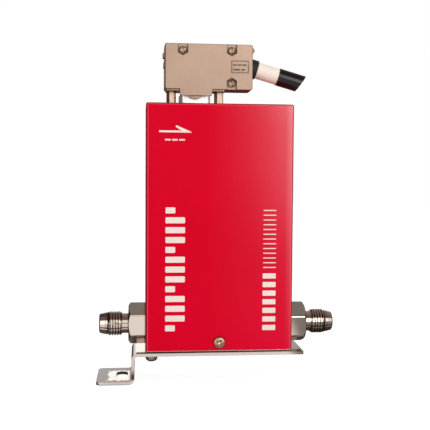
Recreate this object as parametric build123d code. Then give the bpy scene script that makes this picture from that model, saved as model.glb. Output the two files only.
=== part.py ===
from build123d import *
import math
import os

# Thermal mass flow controller on a Z-bent mounting bracket, with its signal plug screwed on.
# Millimetres. X is the direction of flow, Y points to the back, Z points up.
# The origin is the middle of the flat underside of the bracket's foot.

# ---------------------------------------------------------------- driving dimensions
# Bracket: one strip of stainless sheet, bent twice.
SHEET = 1.6
BEND_INSIDE = 1.7
BRACKET_DEPTH = 30.0
FOOT_REACH = 17.9
STEP_HEIGHT = 16.0
RISER_TO_BODY = 7.2
PLATE_OVERHANG = 6.3
FOOT_CORNER = 3.0
PLATE_CORNER = 1.5
SLOT_WIDTH = 6.0
SLOT_LENGTH = 14.0
SLOT_TO_RISER = 1.9
BRACKET_SCREW_INSET = 3.2

# Body: the stainless flow block and the cover that slides down over it.
BODY_LENGTH = 76.0
BODY_DEPTH = 28.0
BLOCK_HEIGHT = 24.8
BLOCK_EDGE = 0.4
COVER_HEIGHT = 126.9
COVER_SHEET = 1.0
COVER_BEND = 1.3
COVER_LIFT = 1.0
COVER_SIDE_CUT = 24.0
COVER_CLEARANCE = 0.15
COVER_SCREW_RISE = 4.2

# Fittings: threaded glands screwed into both ends of the block.
FLOW_AXIS_RISE = 13.2
HEX_FLATS = 19.0
HEX_LENGTH = 8.8
HEX_CHAMFER = 1.2
HEX_CHAMFER_RIM = 0.3
NECK_RADIUS = 5.25
NECK_LENGTH = 3.4
THREAD_RADIUS = 6.35
THREAD_LENGTH = 7.5
THREAD_LEAD_IN = 0.45
NOSE_TIP_RADIUS = 5.2
NOSE_LENGTH = 4.3
NOSE_ROUND = 0.8
FITTING_BORE_RADIUS = 2.3
FACE_RECESS_RADIUS = 4.4
FACE_RECESS_DEPTH = 0.9
FACE_BEAD_RADIUS = 3.4
FACE_BEAD_SECTION = 0.5
SHANK_RADIUS = 5.7
SHANK_LENGTH = 8.5
INLET_HEX_TURN = 2.8
OUTLET_HEX_TURN = 7.4
PORT_SEAT_DEPTH = 1.0
PORT_SEAT_RADIUS = 7.4
FILTER_THICKNESS = 1.0

# Gas passages inside the block.
BYPASS_BORE_RADIUS = 4.5
BYPASS_BORE_BEYOND_TAP = 2.0
BYPASS_TO_TAP = 0.5
BYPASS_CORE = 0.45
BYPASS_PLATES = 5
BYPASS_GROOVE = 0.7
PASSAGE_RADIUS = 1.3
TAP_RADIUS = 1.0
TAP_SPACING = 11.0
RISE_INSIDE_CHAMBER = 0.2

# Sensor: a heated capillary loop standing on its own small block.
SENSOR_TO_TAB = 1.5
SENSOR_BASE_LENGTH = 25.6
SENSOR_BASE_DEPTH = 14.0
SENSOR_BASE_HEIGHT = 6.0
SENSOR_BASE_CORNER = 1.0
SENSOR_TUBE_RADIUS = 0.5
SENSOR_TUBE_BORE = 0.3
SENSOR_LOOP_HEIGHT = 13.0
SENSOR_LOOP_BEND = 2.5
SENSOR_WINDING_RADIUS = 1.1
SENSOR_WINDING_LENGTH = 2.2
SENSOR_WINDING_GAP = 0.8
SENSOR_CAN_LENGTH = 14.6
SENSOR_CAN_CORNER = 2.0
SENSOR_CAN_DEPTH = 12.0
SENSOR_CAN_HEIGHT = 18.0
SENSOR_CAN_WALL = 0.6
SENSOR_SCREW_SPACING = 20.6
SENSOR_SEAL_RADIUS = 1.9
SENSOR_SEAL_THICKNESS = 0.8

# Valve: normally closed, lifted by a coil and closed by its spring.
VALVE_FROM_OUTLET = 21.0
VALVE_FLANGE = 22.0
VALVE_FLANGE_THICKNESS = 3.0
VALVE_FLANGE_CORNER = 2.0
VALVE_SCREW_PITCH = 17.2
CHAMBER_RADIUS = 6.5
CHAMBER_DEPTH = 6.0
SPIGOT_LENGTH = 3.0
SPIGOT_CLEARANCE = 0.05
SEAT_RADIUS = 3.0
SEAT_SUNK = 2.0
SEAT_PROUD = 1.2
SEAT_LIP_WIDTH = 0.6
SEAT_LIP_HEIGHT = 0.7
ORIFICE_RADIUS = 0.6
SEAL_DISC_RADIUS = 2.2
SEAL_DISC_THICKNESS = 1.2
PLUNGER_RADIUS = 4.0
PLUNGER_LENGTH = 14.0
PLUNGER_CHAMFER = 0.3
PLUNGER_RUNNING_FIT = 0.06
PLUNGER_LIFT = 0.35
PLUNGER_STOP_GAP = 0.05
SPRING_WIRE = 0.5
SPRING_MEAN_RADIUS = 2.1
SPRING_TURNS = 5
SPRING_POCKET_DEPTH = 6.0
SPRING_SIDE_CLEARANCE = 0.35
GUIDE_TUBE_WALL = 0.65
GUIDE_TUBE_HEIGHT = 16.4
POLE_SHOULDER = 2.0
POLE_STUD_RADIUS = 3.0
POLE_STUD_LENGTH = 10.0
ORING_SECTION = 0.7
ORING_RADIUS = 8.1
ORING_SIDE_CLEARANCE = 0.25
BOBBIN_CLEARANCE = 0.2
BOBBIN_WALL = 0.8
BOBBIN_RADIUS = 9.8
BOBBIN_HEIGHT = 16.0
WINDING_BELOW_RIM = 0.6
YOKE_SHEET = 1.6
YOKE_DEPTH = 12.0
COIL_SIDE_CLEARANCE = 0.5
COIL_NUT_FLATS = 10.0
COIL_NUT_HEIGHT = 5.0
LEAD_RADIUS = 0.6
LEAD_SPACING = 4.0
LEAD_GAP = 0.3

# Electronics: a frame on the block carries the board, and the connector stands on the board's edge.
FRAME_SHEET = 1.2
FRAME_END_GAP = 1.0
FRAME_TO_COVER = 0.4
FRAME_TOP_GAP = 8.0
FRAME_TAB_WIDTH = 6.0
FRAME_TAB_REACH = 16.0
FRAME_WINDOW_RADIUS = 4.0
FRAME_LEG_MARGIN = 0.4
FRAME_WINDOW_MARGIN = 8.0
BOARD_THICKNESS = 1.6
BOARD_INSET = 2.0
BOARD_HEIGHT = 52.0
BOARD_CORNER = 1.5
BOARD_CORNER_HOLE = 4.0
STANDOFF_RADIUS = 2.5
PACKAGE_LENGTH = 9.6
PACKAGE_WIDTH = 6.4
PACKAGE_HEIGHT = 3.4
PACKAGE_COLUMNS = 4
PACKAGE_ROWS = 2
PACKAGE_COLUMN_PITCH = 13.5
PACKAGE_ROW_PITCH = 12.0
PACKAGE_FIRST_RISE = 20.0
CAPACITOR_RADIUS = 3.2
CAPACITOR_HEIGHT = 9.0
CAPACITOR_CHAMFER = 0.5
CAPACITOR_COUNT = 3
CAPACITOR_PITCH = 14.0
CAPACITOR_RISE = 26.0
HEADER_LENGTH = 10.0
HEADER_DEPTH = 8.0
HEADER_HEIGHT = 7.0
HEADER_RISE = 1.0
LEAD_STRIP_WIDTH = 6.0
LEAD_STRIP_THICKNESS = 0.8
LEAD_STRIP_FROM_BOARD = 3.8

# Nine-way D-shaped connector, in the middle of the depth.
CONNECTOR_FROM_INLET_SIDE = 25.7
JACK_SPACING = 25.0
FLANGE_LENGTH = 30.8
FLANGE_DEPTH = 12.5
FLANGE_SHEET = 0.9
FLANGE_CORNER = 1.2
D_SLANT = 10.0
D_CORNER = 2.4
RECEPTACLE_LENGTH = 17.9
RECEPTACLE_WIDTH = 9.3
D_SHELL_WALL = 0.45
D_SHELL_GAP = 0.3
D_SHELL_REACH = 5.8
D_SHELL_CUT_GAP = 0.5
INSULATOR_DEPTH = 5.0
INSULATOR_RIM = 0.5
INSULATOR_CORNER = 1.0
CONTACT_PITCH = 2.77
CONTACT_ROW_PITCH = 2.84
CONTACT_RADIUS = 0.5
SOCKET_RADIUS = 0.85
CONTACT_TAIL = 4.5
CONTACT_CUP = 2.0
PIN_BELOW_SHELL = 0.4
PIN_CHAMFER = 0.25
POST_HEIGHT = 6.9
POST_FLATS = 4.4
POST_TURN = 8.0
JACK_THREAD_RADIUS = 1.4
JACK_THREAD_ENGAGED = 4.5
JACK_STUD_LENGTH = 4.5
JACK_NUT_HEIGHT = 2.2

# Hood over the plug: a deep half and a flat front half, held by three screws.
HOOD_LENGTH = 44.75
HOOD_HEIGHT = 22.9
HOOD_DEPTH = 16.0
HOOD_OVERHANG = 0.5
HOOD_FROM_INLET_SIDE = 10.05
HOOD_WALL = 1.5
HOOD_FRONT_PLATE = 2.0
HOOD_CORNER = 1.0
HOOD_TONGUE_WIDTH = 16.5
HOOD_TONGUE_DROP = 3.4
HOOD_TONGUE_CHAMFER = 0.8
HOOD_LIP_WIDTH = 6.4
HOOD_LIP_DROP = 1.5
HOOD_LIP_THICKNESS = 0.9
HOOD_NOTCH_WIDTH = 5.2
HOOD_NOTCH_DEPTH = 1.3
HOOD_SCREW_INSET = 3.0
HOOD_SCREW_LEFT = 8.8
HOOD_SCREW_RIGHT = 34.1
HOOD_BOSS_RADIUS = 2.3
SIDE_LUG_INSET = 1.0
SIDE_LUG_DEPTH = 5.0
SIDE_LUG_ROUND = 0.6
UPPER_LUG_BELOW_TOP = 5.7
UPPER_LUG_HEIGHT = 2.6
UPPER_LUG_PROUD = 1.0
LOWER_LUG_BELOW_TOP = 10.6
LOWER_LUG_HEIGHT = 3.0
LOWER_LUG_PROUD = 0.6
CORNER_LUG_BELOW_TOP = 0.9
CORNER_LUG_HEIGHT = 3.0
CORNER_LUG_PROUD = 1.1
CORNER_LUG_CHAMFER = 0.9
JACK_BOSS_RADIUS = 2.6
JACK_HEAD_RADIUS = 2.1
JACK_HEAD_HEIGHT = 2.6
JACK_HEAD_SUNK = 0.4
JACK_HEAD_SLOT_WIDTH = 0.6
JACK_HEAD_SLOT_DEPTH = 1.0
FRAME_MARK_FROM_SIDE = 1.8
FRAME_MARK_FROM_TOP = 8.1
FRAME_MARK_LENGTH = 9.2
FRAME_MARK_HEIGHT = 6.4
FRAME_MARK_LINE = 0.5
FRAME_MARK_DEPTH = 0.25

# Cable: a short stub, cut off and bound with tape.
CABLE_RADIUS = 4.3
CABLE_DROP_ANGLE = 15.8
CABLE_EXIT_BELOW_TOP = 10.8
CABLE_REACH = 25.4
CABLE_INSIDE = 9.0
BUSH_RADIUS = 4.95
BUSH_INSIDE = 3.4
BUSH_OUTSIDE = 3.5
TAPE_RADIUS = 4.6
TAPE_START = 15.2
TAPE_END_TOP = 29.7
TAPE_END_BOTTOM = 26.4
CLAMP_SHEET = 1.2
CLAMP_LENGTH = 4.0
CORES_RADIUS = 1.5
CORES_BEND = 1.5
CORES_BELOW_SHEATH = 0.5
CORES_LEAD_OUT = 2.6
CORES_TO_BOSS = 0.3
CORES_RISE = 0.8

# Screws: M3 for bracket and cover, M2.5 inside, M2 in the hood.
M3_RADIUS = 1.5
M3_DEPTH = 5.0
M25_RADIUS = 1.25
M25_DEPTH = 5.0
M2_RADIUS = 1.0
M2_DEPTH = 7.0
SCREW_END_GAP = 0.5
BRACKET_HEAD_RADIUS = 3.1
BRACKET_HEAD_HEIGHT = 3.5
BRACKET_HEAD_CROSS = 3.2
COVER_HEAD_RADIUS = 3.0
COVER_HEAD_HEIGHT = 1.7
COVER_HEAD_CROSS = 3.4
INNER_HEAD_RADIUS = 2.4
INNER_HEAD_HEIGHT = 1.8
CAP_HEAD_RADIUS = 2.25
CAP_HEAD_HEIGHT = 2.5
LOW_CAP_HEAD_HEIGHT = 1.4
HOOD_HEAD_RADIUS = 1.85
HOOD_HEAD_HEIGHT = 1.2
HOOD_HEAD_CROSS = 2.2

# General clearances.
SCREW_CLEARANCE = 0.05
HOLE_CLEARANCE = 0.2
SLIP = 0.05

# ---------------------------------------------------------------- derived places
riser_x = FOOT_REACH - (FOOT_REACH - BEND_INSIDE) / 2
foot_tip_x = riser_x - FOOT_REACH
body_x0 = riser_x + RISER_TO_BODY
body_x1 = body_x0 + BODY_LENGTH
plate_x1 = body_x1 + PLATE_OVERHANG
block_z0 = STEP_HEIGHT
block_z1 = block_z0 + BLOCK_HEIGHT
block_half = BODY_DEPTH / 2 - COVER_SHEET - COVER_CLEARANCE
cover_z0 = block_z0 + COVER_LIFT
cover_z1 = cover_z0 + COVER_HEIGHT
flow_z = block_z0 + FLOW_AXIS_RISE
frame_x0 = body_x0 + COVER_SHEET + FRAME_END_GAP
frame_x1 = body_x1 - COVER_SHEET - FRAME_END_GAP
sensor_x = frame_x0 + FRAME_TAB_WIDTH + SENSOR_TO_TAB + SENSOR_BASE_LENGTH / 2
valve_x = body_x1 - VALVE_FROM_OUTLET
connector_x = body_x0 + CONNECTOR_FROM_INLET_SIDE
jack_xs = [connector_x - JACK_SPACING / 2, connector_x + JACK_SPACING / 2]
plug_flange_z0 = cover_z1 + POST_HEIGHT
hood_z0 = plug_flange_z0 + FLANGE_SHEET
hood_z1 = hood_z0 + HOOD_HEIGHT
hood_x0 = body_x0 + HOOD_FROM_INLET_SIDE
hood_x1 = hood_x0 + HOOD_LENGTH
hood_front = -HOOD_DEPTH / 2
hood_split = hood_front + HOOD_FRONT_PLATE
hood_back = HOOD_DEPTH / 2


# ---------------------------------------------------------------- general shapes
def block_between(low, high):
    """A rectangular block between two opposite corners."""
    size = [b - a for a, b in zip(low, high)]
    middle = [(a + b) / 2 for a, b in zip(low, high)]
    return Pos(*middle) * Box(*size)


def rod_x(radius, x0, x1, y=0.0, z=0.0):
    """A round bar along X."""
    return Pos((x0 + x1) / 2, y, z) * Rot(0, 90, 0) * Cylinder(radius, x1 - x0)


def rod_y(radius, y0, y1, x=0.0, z=0.0):
    """A round bar along Y."""
    return Pos(x, (y0 + y1) / 2, z) * Rot(90, 0, 0) * Cylinder(radius, y1 - y0)


def rod_z(radius, z0, z1, x=0.0, y=0.0):
    """A round bar along Z."""
    return Pos(x, y, (z0 + z1) / 2) * Cylinder(radius, z1 - z0)


def turned(points):
    """A solid turned about Z from (radius, height) points, its section closed on itself."""
    section = Plane.XZ * make_face(Polyline(*points, close=True))
    return revolve(section, Axis.Z)


def hex_bar(flats, height, turn=0.0):
    """An upright hexagonal bar standing on Z = 0."""
    profile = Rot(0, 0, turn) * RegularPolygon(flats / 2, 6, major_radius=False)
    return extrude(profile, height)


def screw(head_radius, head_height, shank_radius, shank_length, recess=0.0):
    """A pan-head screw, head up on Z = 0, with a cross recess of the given span if any."""
    edge = head_height * 0.45
    inner = head_radius * 0.62
    body = turned([(0, 0), (head_radius, 0), (head_radius, edge),
                   (inner, head_height), (0, head_height)])
    body = body + rod_z(shank_radius, -shank_length, 0)
    if recess:
        depth = head_height * 0.55
        blade = recess * 0.24
        bottom = head_height - depth
        for turn in (45, 135):
            slot = block_between((-recess / 2, -blade / 2, bottom), (recess / 2, blade / 2, head_height))
            body = body - Rot(0, 0, turn) * slot
    return body


def cap_screw(head_radius, head_height, shank_radius, shank_length):
    """A socket-head screw, head up on Z = 0."""
    socket = Pos(0, 0, head_height * 0.45) * hex_bar(head_radius * 1.1, head_height)
    return rod_z(head_radius, 0, head_height) + rod_z(shank_radius, -shank_length, 0) - socket


def d_outline(length, width, corner):
    """The D-shaped outline of the connector: a trapezium with slanted ends and round corners."""
    lean = width * math.tan(math.radians(D_SLANT))
    points = [(-length / 2, width / 2), (length / 2, width / 2),
              (length / 2 - lean, -width / 2), (-length / 2 + lean, -width / 2)]
    face = make_face(Polyline(*points, close=True))
    return fillet(face.vertices(), corner)


def d_prism(length, width, corner, z0, z1):
    """The D-shaped outline raised between two heights, at the connector's place."""
    return Pos(connector_x, 0, z0) * extrude(d_outline(length, width, corner), z1 - z0)


def group(shapes):
    """Separate solids kept together as one node."""
    return Compound(children=[shape for shape in shapes])


# ---------------------------------------------------------------- bracket
bracket_screw_spots = [(body_x0 + BRACKET_SCREW_INSET, -block_half + BRACKET_SCREW_INSET),
                       (body_x1 - BRACKET_SCREW_INSET, block_half - BRACKET_SCREW_INSET)]


def make_bracket():
    """The sheet's middle line is drawn once and thickened, then corners, slot and holes are cut."""
    middle = SHEET / 2
    line = FilletPolyline((foot_tip_x, middle), (riser_x + middle, middle),
                          (riser_x + middle, STEP_HEIGHT - middle), (plate_x1, STEP_HEIGHT - middle),
                          radius=BEND_INSIDE + middle)
    strip = extrude(Plane.XZ * trace(line, SHEET), BRACKET_DEPTH / 2, both=True)
    uprights = strip.edges().filter_by(Axis.Z).group_by(Axis.X)
    strip = fillet(uprights[0], FOOT_CORNER)
    uprights = strip.edges().filter_by(Axis.Z).group_by(Axis.X)
    strip = fillet(uprights[-1], PLATE_CORNER)
    slot_x = riser_x - SLOT_TO_RISER - SLOT_WIDTH / 2
    slot = Pos(slot_x, 0, -SHEET) * extrude(SlotOverall(SLOT_LENGTH, SLOT_WIDTH, rotation=90), 3 * SHEET)
    strip = strip - slot
    for x, y in bracket_screw_spots:
        strip = strip - rod_z(M3_RADIUS + HOLE_CLEARANCE, 0, STEP_HEIGHT + SHEET, x, y)
    return strip


def make_bracket_screws():
    """Pan-head screws up through the plate into the block."""
    underside = STEP_HEIGHT - SHEET
    one = screw(BRACKET_HEAD_RADIUS, BRACKET_HEAD_HEIGHT, M3_RADIUS, SHEET + M3_DEPTH - SCREW_END_GAP,
                recess=BRACKET_HEAD_CROSS)
    return group([Pos(x, y, underside) * Rot(180, 0, 0) * one for x, y in bracket_screw_spots])


# ---------------------------------------------------------------- flow block
frame_y1 = BODY_DEPTH / 2 - COVER_SHEET - FRAME_TO_COVER
frame_y0 = frame_y1 - FRAME_SHEET
frame_screw_xs = [frame_x0 + FRAME_TAB_WIDTH / 2, frame_x1 - FRAME_TAB_WIDTH / 2]
tap_xs = [sensor_x - TAP_SPACING / 2, sensor_x + TAP_SPACING / 2]
sensor_screw_xs = [sensor_x - SENSOR_SCREW_SPACING / 2, sensor_x + SENSOR_SCREW_SPACING / 2]
port_depth = PORT_SEAT_DEPTH + SHANK_LENGTH
seat_floor_z = block_z1 - CHAMBER_DEPTH
seat_top_z = seat_floor_z + SEAT_PROUD
valve_screw_spots = [(valve_x + i * VALVE_SCREW_PITCH / 2, j * VALVE_SCREW_PITCH / 2)
                     for i in (-1, 1) for j in (-1, 1)]
bypass_length = TAP_SPACING - 2 * (TAP_RADIUS + BYPASS_TO_TAP)
bypass_end = tap_xs[1] + TAP_RADIUS + BYPASS_BORE_BEYOND_TAP


def make_base_block():
    """One machined bar: end ports, flow bore, sensor taps, valve chamber and tapped holes."""
    body = block_between((body_x0, -block_half, block_z0), (body_x1, block_half, block_z1))
    body = chamfer(body.edges(), BLOCK_EDGE)
    port = SHANK_RADIUS + SCREW_CLEARANCE
    inlet_end = body_x0 + port_depth
    outlet_end = body_x1 - port_depth
    body = body - rod_x(PORT_SEAT_RADIUS, body_x0, body_x0 + PORT_SEAT_DEPTH, 0, flow_z)
    body = body - rod_x(PORT_SEAT_RADIUS, body_x1 - PORT_SEAT_DEPTH, body_x1, 0, flow_z)
    body = body - rod_x(port, body_x0, inlet_end, 0, flow_z)
    body = body - rod_x(port, outlet_end, body_x1, 0, flow_z)
    body = body - rod_x(BYPASS_BORE_RADIUS, inlet_end, bypass_end, 0, flow_z)
    rise_x = valve_x - CHAMBER_RADIUS + PASSAGE_RADIUS + RISE_INSIDE_CHAMBER
    body = body - rod_x(PASSAGE_RADIUS, bypass_end, rise_x, 0, flow_z)
    body = body - Pos(rise_x, 0, flow_z) * Sphere(PASSAGE_RADIUS)
    body = body - rod_z(PASSAGE_RADIUS, flow_z, seat_floor_z, rise_x)
    body = body - rod_z(CHAMBER_RADIUS, seat_floor_z, block_z1, valve_x)
    body = body - rod_z(SEAT_RADIUS + SLIP, seat_floor_z - SEAT_SUNK, seat_floor_z, valve_x)
    body = body - rod_z(PASSAGE_RADIUS, flow_z, seat_floor_z, valve_x)
    body = body - rod_x(FITTING_BORE_RADIUS, valve_x, outlet_end, 0, flow_z)
    body = body - Pos(valve_x, 0, flow_z) * Sphere(FITTING_BORE_RADIUS)
    groove_half = ORING_SECTION + ORING_SIDE_CLEARANCE
    groove = rod_z(ORING_RADIUS + groove_half, block_z1 - 2 * ORING_SECTION, block_z1, valve_x)
    groove = groove - rod_z(ORING_RADIUS - groove_half, block_z0, block_z1 + 1, valve_x)
    body = body - groove
    for x in tap_xs:
        body = body - rod_z(TAP_RADIUS, flow_z, block_z1, x)
    for x in sensor_screw_xs:
        body = body - rod_z(M25_RADIUS + SCREW_CLEARANCE, block_z1 - M25_DEPTH, block_z1, x)
    for x, y in valve_screw_spots:
        body = body - rod_z(M25_RADIUS + SCREW_CLEARANCE, block_z1 - M25_DEPTH, block_z1, x, y)
    for x in frame_screw_xs:
        body = body - rod_z(M25_RADIUS + SCREW_CLEARANCE, block_z1 - M25_DEPTH, block_z1, x)
    for x, y in bracket_screw_spots:
        body = body - rod_z(M3_RADIUS + SCREW_CLEARANCE, block_z0, block_z0 + M3_DEPTH, x, y)
    screw_z = cover_z0 + COVER_SCREW_RISE
    middle_x = body_x0 + BODY_LENGTH / 2
    hole = M3_RADIUS + SCREW_CLEARANCE
    body = body - rod_y(hole, -block_half, -block_half + M3_DEPTH, middle_x, screw_z)
    body = body - rod_y(hole, block_half - M3_DEPTH, block_half, middle_x, screw_z)
    return body


def make_bypass_element():
    """A laminar-flow restrictor: a turned core ringed by thin plates."""
    radius = BYPASS_BORE_RADIUS - SLIP
    core = rod_x(radius * BYPASS_CORE, -bypass_length / 2, bypass_length / 2)
    pitch = bypass_length / BYPASS_PLATES
    plate = pitch - BYPASS_GROOVE
    for i in range(BYPASS_PLATES):
        start = -bypass_length / 2 + i * pitch + BYPASS_GROOVE / 2
        core = core + rod_x(radius, start, start + plate)
    return Pos(sensor_x, 0, flow_z) * core


# ---------------------------------------------------------------- cover
def make_cover():
    """A five-sided box of sheet, cut away at both ends below the block's top."""
    half = BODY_DEPTH / 2
    shell = block_between((body_x0, -half, cover_z0), (body_x1, half, cover_z1))
    shell = fillet(shell.edges().filter_by(Axis.Z), COVER_BEND)
    shell = fillet(shell.faces().sort_by(Axis.Z)[-1].edges(), COVER_SHEET)
    inside = block_between((body_x0 + COVER_SHEET, -half + COVER_SHEET, cover_z0),
                           (body_x1 - COVER_SHEET, half - COVER_SHEET, cover_z1 - COVER_SHEET))
    inside = fillet(inside.edges().filter_by(Axis.Z), COVER_BEND - COVER_SHEET)
    shell = shell - inside
    end_cut = block_between((body_x0 - 1, -half + COVER_SHEET, cover_z0 - 1),
                            (body_x1 + 1, half - COVER_SHEET, cover_z0 + COVER_SIDE_CUT))
    shell = shell - end_cut
    window = d_prism(RECEPTACLE_LENGTH + 2 * D_SHELL_CUT_GAP, RECEPTACLE_WIDTH + 2 * D_SHELL_CUT_GAP,
                     D_CORNER + D_SHELL_CUT_GAP, cover_z1 - 2 * COVER_SHEET, cover_z1 + 1)
    shell = shell - window
    for x in jack_xs:
        shell = shell - rod_z(JACK_THREAD_RADIUS + HOLE_CLEARANCE, cover_z1 - 2 * COVER_SHEET,
                              cover_z1 + 1, x)
    shell = shell - rod_y(M3_RADIUS + HOLE_CLEARANCE, -half - 1, half + 1,
                          body_x0 + BODY_LENGTH / 2, cover_z0 + COVER_SCREW_RISE)
    return shell


def make_cover_screws():
    """One screw low in the front panel and one in the back panel."""
    reach = COVER_SHEET + COVER_CLEARANCE + M3_DEPTH - SCREW_END_GAP
    one = screw(COVER_HEAD_RADIUS, COVER_HEAD_HEIGHT, M3_RADIUS, reach, recess=COVER_HEAD_CROSS)
    spot = (body_x0 + BODY_LENGTH / 2, BODY_DEPTH / 2, cover_z0 + COVER_SCREW_RISE)
    front = Pos(spot[0], -spot[1], spot[2]) * Rot(90, 0, 0) * one
    back = Pos(*spot) * Rot(-90, 0, 0) * one
    return group([front, back])


# ---------------------------------------------------------------- fittings
def make_fitting(hex_turn):
    """A gland upright on Z = 0, shank below, hexagon, relief neck, thread and sealing nose above."""
    neck_z = HEX_LENGTH
    thread_z = neck_z + NECK_LENGTH
    nose_z = thread_z + THREAD_LENGTH
    tip_z = nose_z + NOSE_LENGTH
    shank = rod_z(SHANK_RADIUS, -SHANK_LENGTH, 0)
    corner = HEX_FLATS / math.sqrt(3)
    chamfered = turned([(0, 0), (corner, 0), (corner, HEX_LENGTH - HEX_CHAMFER),
                        (HEX_FLATS / 2 - HEX_CHAMFER_RIM, HEX_LENGTH), (0, HEX_LENGTH)])
    nut = hex_bar(HEX_FLATS, HEX_LENGTH, hex_turn) & chamfered
    stem = turned([(0, 0), (NECK_RADIUS, 0), (NECK_RADIUS, thread_z),
                   (THREAD_RADIUS - THREAD_LEAD_IN, thread_z),
                   (THREAD_RADIUS, thread_z + THREAD_LEAD_IN / 2),
                   (THREAD_RADIUS, nose_z - THREAD_LEAD_IN / 2),
                   (THREAD_RADIUS - THREAD_LEAD_IN, nose_z), (NOSE_TIP_RADIUS, tip_z), (0, tip_z)])
    stem = fillet(stem.edges().group_by(Axis.Z)[-1], NOSE_ROUND)
    recess = rod_z(FACE_RECESS_RADIUS, tip_z - FACE_RECESS_DEPTH, tip_z + 1)
    bead = Pos(0, 0, tip_z - FACE_RECESS_DEPTH) * Torus(FACE_BEAD_RADIUS, FACE_BEAD_SECTION)
    bore = rod_z(FITTING_BORE_RADIUS, -SHANK_LENGTH - 1, tip_z + 1)
    return shank + nut + stem - recess + bead - bore


def make_fittings():
    """Both glands, seated in the block with their hexagons against its ends."""
    inlet = Pos(body_x0, 0, flow_z) * Rot(0, -90, 0) * make_fitting(INLET_HEX_TURN)
    outlet = Pos(body_x1, 0, flow_z) * Rot(0, 90, 0) * make_fitting(OUTLET_HEX_TURN)
    return inlet, outlet


def make_fitting_seals():
    """Flat gasket rings between the hexagons and the floors of the port seats."""
    outer = PORT_SEAT_RADIUS - SLIP
    hole = SHANK_RADIUS + SLIP
    left = rod_x(outer, body_x0, body_x0 + PORT_SEAT_DEPTH, 0, flow_z)
    left = left - rod_x(hole, body_x0 - 1, body_x0 + PORT_SEAT_DEPTH + 1, 0, flow_z)
    right = rod_x(outer, body_x1 - PORT_SEAT_DEPTH, body_x1, 0, flow_z)
    right = right - rod_x(hole, body_x1 - PORT_SEAT_DEPTH - 1, body_x1 + 1, 0, flow_z)
    return group([left, right])


def make_inlet_filter():
    """A sintered disc between the shank's end and the floor of the inlet port."""
    start = body_x0 + SHANK_LENGTH
    return rod_x(SHANK_RADIUS, start, start + FILTER_THICKNESS, 0, flow_z)


# ---------------------------------------------------------------- sensor
sensor_z0 = block_z1
sensor_z1 = sensor_z0 + SENSOR_BASE_HEIGHT
loop_z = sensor_z1 + SENSOR_LOOP_HEIGHT
can_z1 = sensor_z1 + SENSOR_CAN_HEIGHT


def make_sensor_base():
    """A small stainless block with two capillary holes and a gasket seat under each."""
    half_x = SENSOR_BASE_LENGTH / 2
    half_y = SENSOR_BASE_DEPTH / 2
    body = block_between((sensor_x - half_x, -half_y, sensor_z0), (sensor_x + half_x, half_y, sensor_z1))
    body = chamfer(body.edges().filter_by(Axis.Z), SENSOR_BASE_CORNER)
    for x in tap_xs:
        body = body - rod_z(SENSOR_TUBE_RADIUS + SLIP, sensor_z0, sensor_z1, x)
        body = body - rod_z(SENSOR_SEAL_RADIUS + SLIP, sensor_z0, sensor_z0 + SENSOR_SEAL_THICKNESS, x)
    for x in sensor_screw_xs:
        body = body - rod_z(M25_RADIUS + HOLE_CLEARANCE, sensor_z0, sensor_z1, x)
    return body


def make_sensor_seals():
    """Two small gaskets round the sensor's taps."""
    rings = []
    for x in tap_xs:
        ring = rod_z(SENSOR_SEAL_RADIUS, sensor_z0, sensor_z0 + SENSOR_SEAL_THICKNESS, x)
        rings.append(ring - rod_z(TAP_RADIUS, sensor_z0, sensor_z1, x))
    return group(rings)


def make_sensor_tube():
    """The capillary: up one tap, across and down the other, in one bent tube."""
    foot_z = sensor_z0 + SENSOR_SEAL_THICKNESS
    path = FilletPolyline((tap_xs[0], 0, foot_z), (tap_xs[0], 0, loop_z),
                          (tap_xs[1], 0, loop_z), (tap_xs[1], 0, foot_z), radius=SENSOR_LOOP_BEND)
    start = Plane((tap_xs[0], 0, foot_z))
    ring = start * (Circle(SENSOR_TUBE_RADIUS) - Circle(SENSOR_TUBE_BORE))
    return sweep(ring, path=path)


def make_sensor_windings():
    """Two heater windings side by side on the level run of the capillary."""
    sleeves = []
    for side in (-1, 1):
        middle = sensor_x + side * (SENSOR_WINDING_LENGTH + SENSOR_WINDING_GAP) / 2
        x0 = middle - SENSOR_WINDING_LENGTH / 2
        x1 = middle + SENSOR_WINDING_LENGTH / 2
        sleeve = rod_x(SENSOR_WINDING_RADIUS, x0, x1, 0, loop_z)
        sleeves.append(sleeve - rod_x(SENSOR_TUBE_RADIUS + SLIP, x0 - 1, x1 + 1, 0, loop_z))
    return group(sleeves)


def make_sensor_cover():
    """A drawn can over the capillary, open below."""
    half_x = SENSOR_CAN_LENGTH / 2
    half_y = SENSOR_CAN_DEPTH / 2
    wall = SENSOR_CAN_WALL
    can = block_between((sensor_x - half_x, -half_y, sensor_z1), (sensor_x + half_x, half_y, can_z1))
    can = fillet(can.edges().filter_by(Axis.Z), SENSOR_CAN_CORNER)
    inside = block_between((sensor_x - half_x + wall, -half_y + wall, sensor_z1 - 1),
                           (sensor_x + half_x - wall, half_y - wall, can_z1 - wall))
    inside = fillet(inside.edges().filter_by(Axis.Z), SENSOR_CAN_CORNER - wall)
    return can - inside


def make_sensor_screws():
    """Socket-head screws at both ends of the sensor's block."""
    reach = SENSOR_BASE_HEIGHT + M25_DEPTH - SCREW_END_GAP
    one = cap_screw(CAP_HEAD_RADIUS, CAP_HEAD_HEIGHT, M25_RADIUS, reach)
    return group([Pos(x, 0, sensor_z1) * one for x in sensor_screw_xs])


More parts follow.
